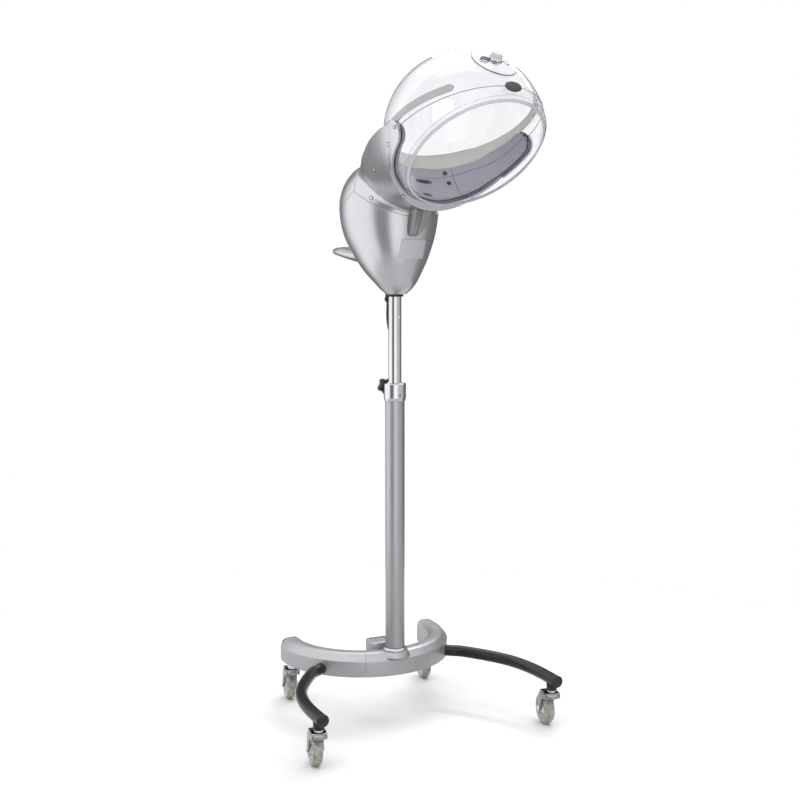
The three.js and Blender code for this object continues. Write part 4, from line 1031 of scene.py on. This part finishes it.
# ---- legs
def leg_route(side):
    start = SHOE_RADIUS + SHOE_WIDTH / 2 - 1
    a = radians(LEG_ANGLE)

    def at(distance, z):
        return side * distance * sin(a), SHOE_RADIUS - distance * cos(a), z

    return [at(start, LEG_ROOT_Z), at(start + 14, LEG_ROOT_Z), at(start + 42, LEG_ROOT_Z - 0.5),
            (side * 224, -28, 111), (side * 249, -75, 110), (side * 262, -124, 109),
            (side * FRONT_CASTER[0], -173, 108), (side * FRONT_CASTER[0], LEG_END_Y, LEG_END_Z)]


for side, name in SIDES:
    route = through(leg_route(side), 10)
    leg = loft("tube", tube_rings(route, LEG_RADIUS, 48), STAND)
    boss = lathe("boss", rounded([(0, CASTER_TOP), (11, CASTER_TOP), (11.5, 104), (0, 104)], 0.8),
                 STAND, 48, Matrix.Translation((side * FRONT_CASTER[0], FRONT_CASTER[1], 0)))
    leg = joined(f"tube_leg_{name}", leg, boss)
    smooth_by_angle(leg)
    finish_piece(leg, BLACK_GLOSS, "stand", [f"leg_{name}"])
    cap = lathe(f"tube_cap_{name}", rounded([
        (0, 0), (LEG_RADIUS + 0.4, 0), (LEG_RADIUS + 0.4, 3), (LEG_RADIUS - 2, 5),
        (LEG_RADIUS - 4, 5), (LEG_RADIUS - 6, 3.4), (0, 3.4)], 0.6), STAND, 64,
        Matrix.Translation((side * FRONT_CASTER[0], LEG_END_Y - 0.3, LEG_END_Z)) @ to_front)
    finish_piece(cap, BLACK, "stand", [f"leg_cap_{name}"])

# ---- casters
tyre_profile = rounded([
    (14, -9.5), (22, -9.5, 1), (24, -WHEEL_WIDTH / 2, 1), (29, -WHEEL_WIDTH / 2, 2),
    (WHEEL_RADIUS - 0.6, -5.5, 5), (WHEEL_RADIUS, 0, 12), (WHEEL_RADIUS - 0.6, 5.5, 5),
    (29, WHEEL_WIDTH / 2, 2), (24, WHEEL_WIDTH / 2, 1), (22, 9.5, 1), (14, 9.5)], 1)
hub_profile = rounded([(4.3, -10.4), (9, -10.4), (9, -8, 1), (13.7, -7), (13.7, 7), (9, 8, 1),
                       (9, 10.4), (4.3, 10.4)], 0.6)
SWIVEL_PROFILE = [(5.3, 67), (15, 67), (16.5, 70, 1.5), (16.5, 74, 1.5), (14.5, 76), (14.5, 79), (5.3, 79)]
FORK_SIDE = [(-11, 79, 6), (14, 79, 3), (28, 75, 8), (40, 62, 8), (41, 28, 6), (29, 27, 6),
             (20, 60, 14), (-11, 66, 5)]
ALONG_X = Matrix(((0, 0, 1, 0), (1, 0, 0, 0), (0, 1, 0, 0), (0, 0, 0, 1)))


def caster(name, spot):
    place = STAND @ Matrix.Translation((*spot, 0)) @ turned(CASTER_YAW, "Z")
    axle_turn = Matrix.Translation((0, CASTER_TRAIL, WHEEL_RADIUS)) @ turned(90, "Y")
    fork_body, wheel_body = f"fork_{name}", f"wheel_{name}"
    plates = []
    for side in (-1, 1):
        near, far = sorted((side * 12.6, side * 15.4))
        plates.append(extruded("plate", rounded(FORK_SIDE, 3), near, far, place, ALONG_X))
    bridge = extruded("bridge", rounded([(-11, 66.8), (30, 73), (27, 79), (-11, 79)], 2), -15.4, 15.4,
                      place, ALONG_X)
    head = lathe("head", rounded(SWIVEL_PROFILE, 0.8), place, 56)
    fork = joined(f"fork_{name}", *plates, bridge, head)
    bevelled(fork, 0.9, 2)
    finish_piece(fork, ZINC, fork_body, [f"caster_{name}_fork"])
    stem = lathe(f"stem_{name}", rounded([
        (0, 70), (5, 70), (5, 79.6), (9.5, 79.6), (9.5, CASTER_TOP - 0.3), (5, CASTER_TOP - 0.3),
        (5, CASTER_TOP + 8), (0, CASTER_TOP + 8)], 0.4), place, 40)
    finish_piece(stem, STEEL, "stand", [f"caster_{name}_stem"])
    tyre = lathe(f"tyre_{name}", tyre_profile, place, 96, axle_turn)
    finish_piece(tyre, TYRE, wheel_body, [f"caster_{name}_wheel"])
    hub = lathe(f"hub_{name}", hub_profile, place, 64, axle_turn)
    finish_piece(hub, HUB, wheel_body)
    axle = lathe(f"axle_{name}", rounded([
        (0, -18.3), (5.5, -18.3), (6.5, -16.5), (6.5, -15.8), (4, -15.8), (4, 15.8), (6.5, 15.8),
        (6.5, 16.5), (5.5, 18.3), (0, 18.3)], 0.4), place, 40, axle_turn)
    finish_piece(axle, STEEL, fork_body, [f"caster_{name}_axle"])


for side, name in SIDES:
    caster(f"front_{name}", (side * FRONT_CASTER[0], FRONT_CASTER[1]))
    caster(f"rear_{name}", (side * REAR_CASTER[0], REAR_CASTER[1]))

# ---- CAD nodes that stay
for name, look in (("base_frame", STEEL), ("guide_bush", BLACK), ("mast_socket", STEEL),
                   ("boiler", BOILER)):
    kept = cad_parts[name]
    kept.data.materials.clear()
    kept.data.materials.append(look)

# ---- floor, light and surroundings
FLOOR_RADIUS = 1400.0
floor = loft("floor", [[(x * r, y * r, z) for x, y in superellipse(96)]
                       for r, z in ((FLOOR_RADIUS, -4.0), (FLOOR_RADIUS, -0.6))], STAND)
floor.data.materials.append(FLOOR)


def soft_light(name, spot, size, power):
    lamp = bpy.data.lights.new(name, "AREA")
    lamp.shape = "RECTANGLE"
    lamp.size, lamp.size_y = size
    lamp.energy = power
    holder = linked(name, lamp)
    holder.location = spot
    aim = Vector((0, 0, 0.8)) - Vector(spot)
    holder.rotation_euler = aim.to_track_quat("-Z", "Y").to_euler()


soft_light("key", (-2.6, -1.6, 2.6), (1.6, 1.6), 18)
soft_light("top", (0.2, 0.6, 3.4), (2.2, 2.2), 14)
soft_light("strip", (1.4, 1.3, 2.4), (1.8, 0.25), 26)

# The studio that surfaces are lit by: bright walls with a dark gap to the left of the camera's side
# and a dark far side, under a bright ceiling. The camera's own rays, and rays that have passed
# through clear plastic, meet plain white.
WALLS = [  # degrees to the right of the side that the camera stands on, level
    (-180, 0.08), (-140, 0.3), (-116, 2.3), (-60, 2.2), (-46, 0.4), (-18, 0.4), (-4, 2.3),
    (22, 2.3), (38, 1.2), (84, 1.1), (104, 0.4), (180, 0.08)]
CEILING_LEVEL, CEILING_START, CEILING_FULL = 2.2, 0.45, 0.75
world = bpy.data.worlds.new("studio")
bpy.context.scene.world = world
world.use_nodes = True
tree = world.node_tree
background = tree.nodes["Background"]
skyward = tree.nodes.new("ShaderNodeTexCoord").outputs["Generated"]
facing = node(tree, "ShaderNodeMapping", Rotation=(0, 0, pi / 2 - azimuth), Vector=skyward)
compass = node(tree, "ShaderNodeTexGradient", Vector=facing.outputs["Vector"])
compass.gradient_type = "RADIAL"
walls = node(tree, "ShaderNodeValToRGB", Fac=compass.outputs["Fac"])
while len(walls.color_ramp.elements) < len(WALLS):
    walls.color_ramp.elements.new(0.5)
for stop, (angle, level) in zip(walls.color_ramp.elements, WALLS):
    stop.position = 0.5 + angle / 360
    stop.color = (level, level, level * 1.015, 1)
height = node(tree, "ShaderNodeSeparateXYZ", Vector=skyward).outputs["Z"]
rise = node(tree, "ShaderNodeMapRange", From_Min=CEILING_START, From_Max=CEILING_FULL, Value=height)
studio = mixed(tree, walls.outputs["Color"], (CEILING_LEVEL, CEILING_LEVEL, CEILING_LEVEL, 1),
               rise.outputs["Result"])
rays = tree.nodes.new("ShaderNodeLightPath")
direct = tree.nodes.new("ShaderNodeMath")
direct.operation = "MAXIMUM"
tree.links.new(rays.outputs["Is Camera Ray"], direct.inputs[0])
tree.links.new(rays.outputs["Is Transmission Ray"], direct.inputs[1])
sky = mixed(tree, studio, (1.0, 1.0, 1.0, 1), direct.outputs["Value"])
tree.links.new(sky, background.inputs["Color"])
background.inputs["Strength"].default_value = 1.0
bpy.context.scene.view_settings.view_transform = "Standard"
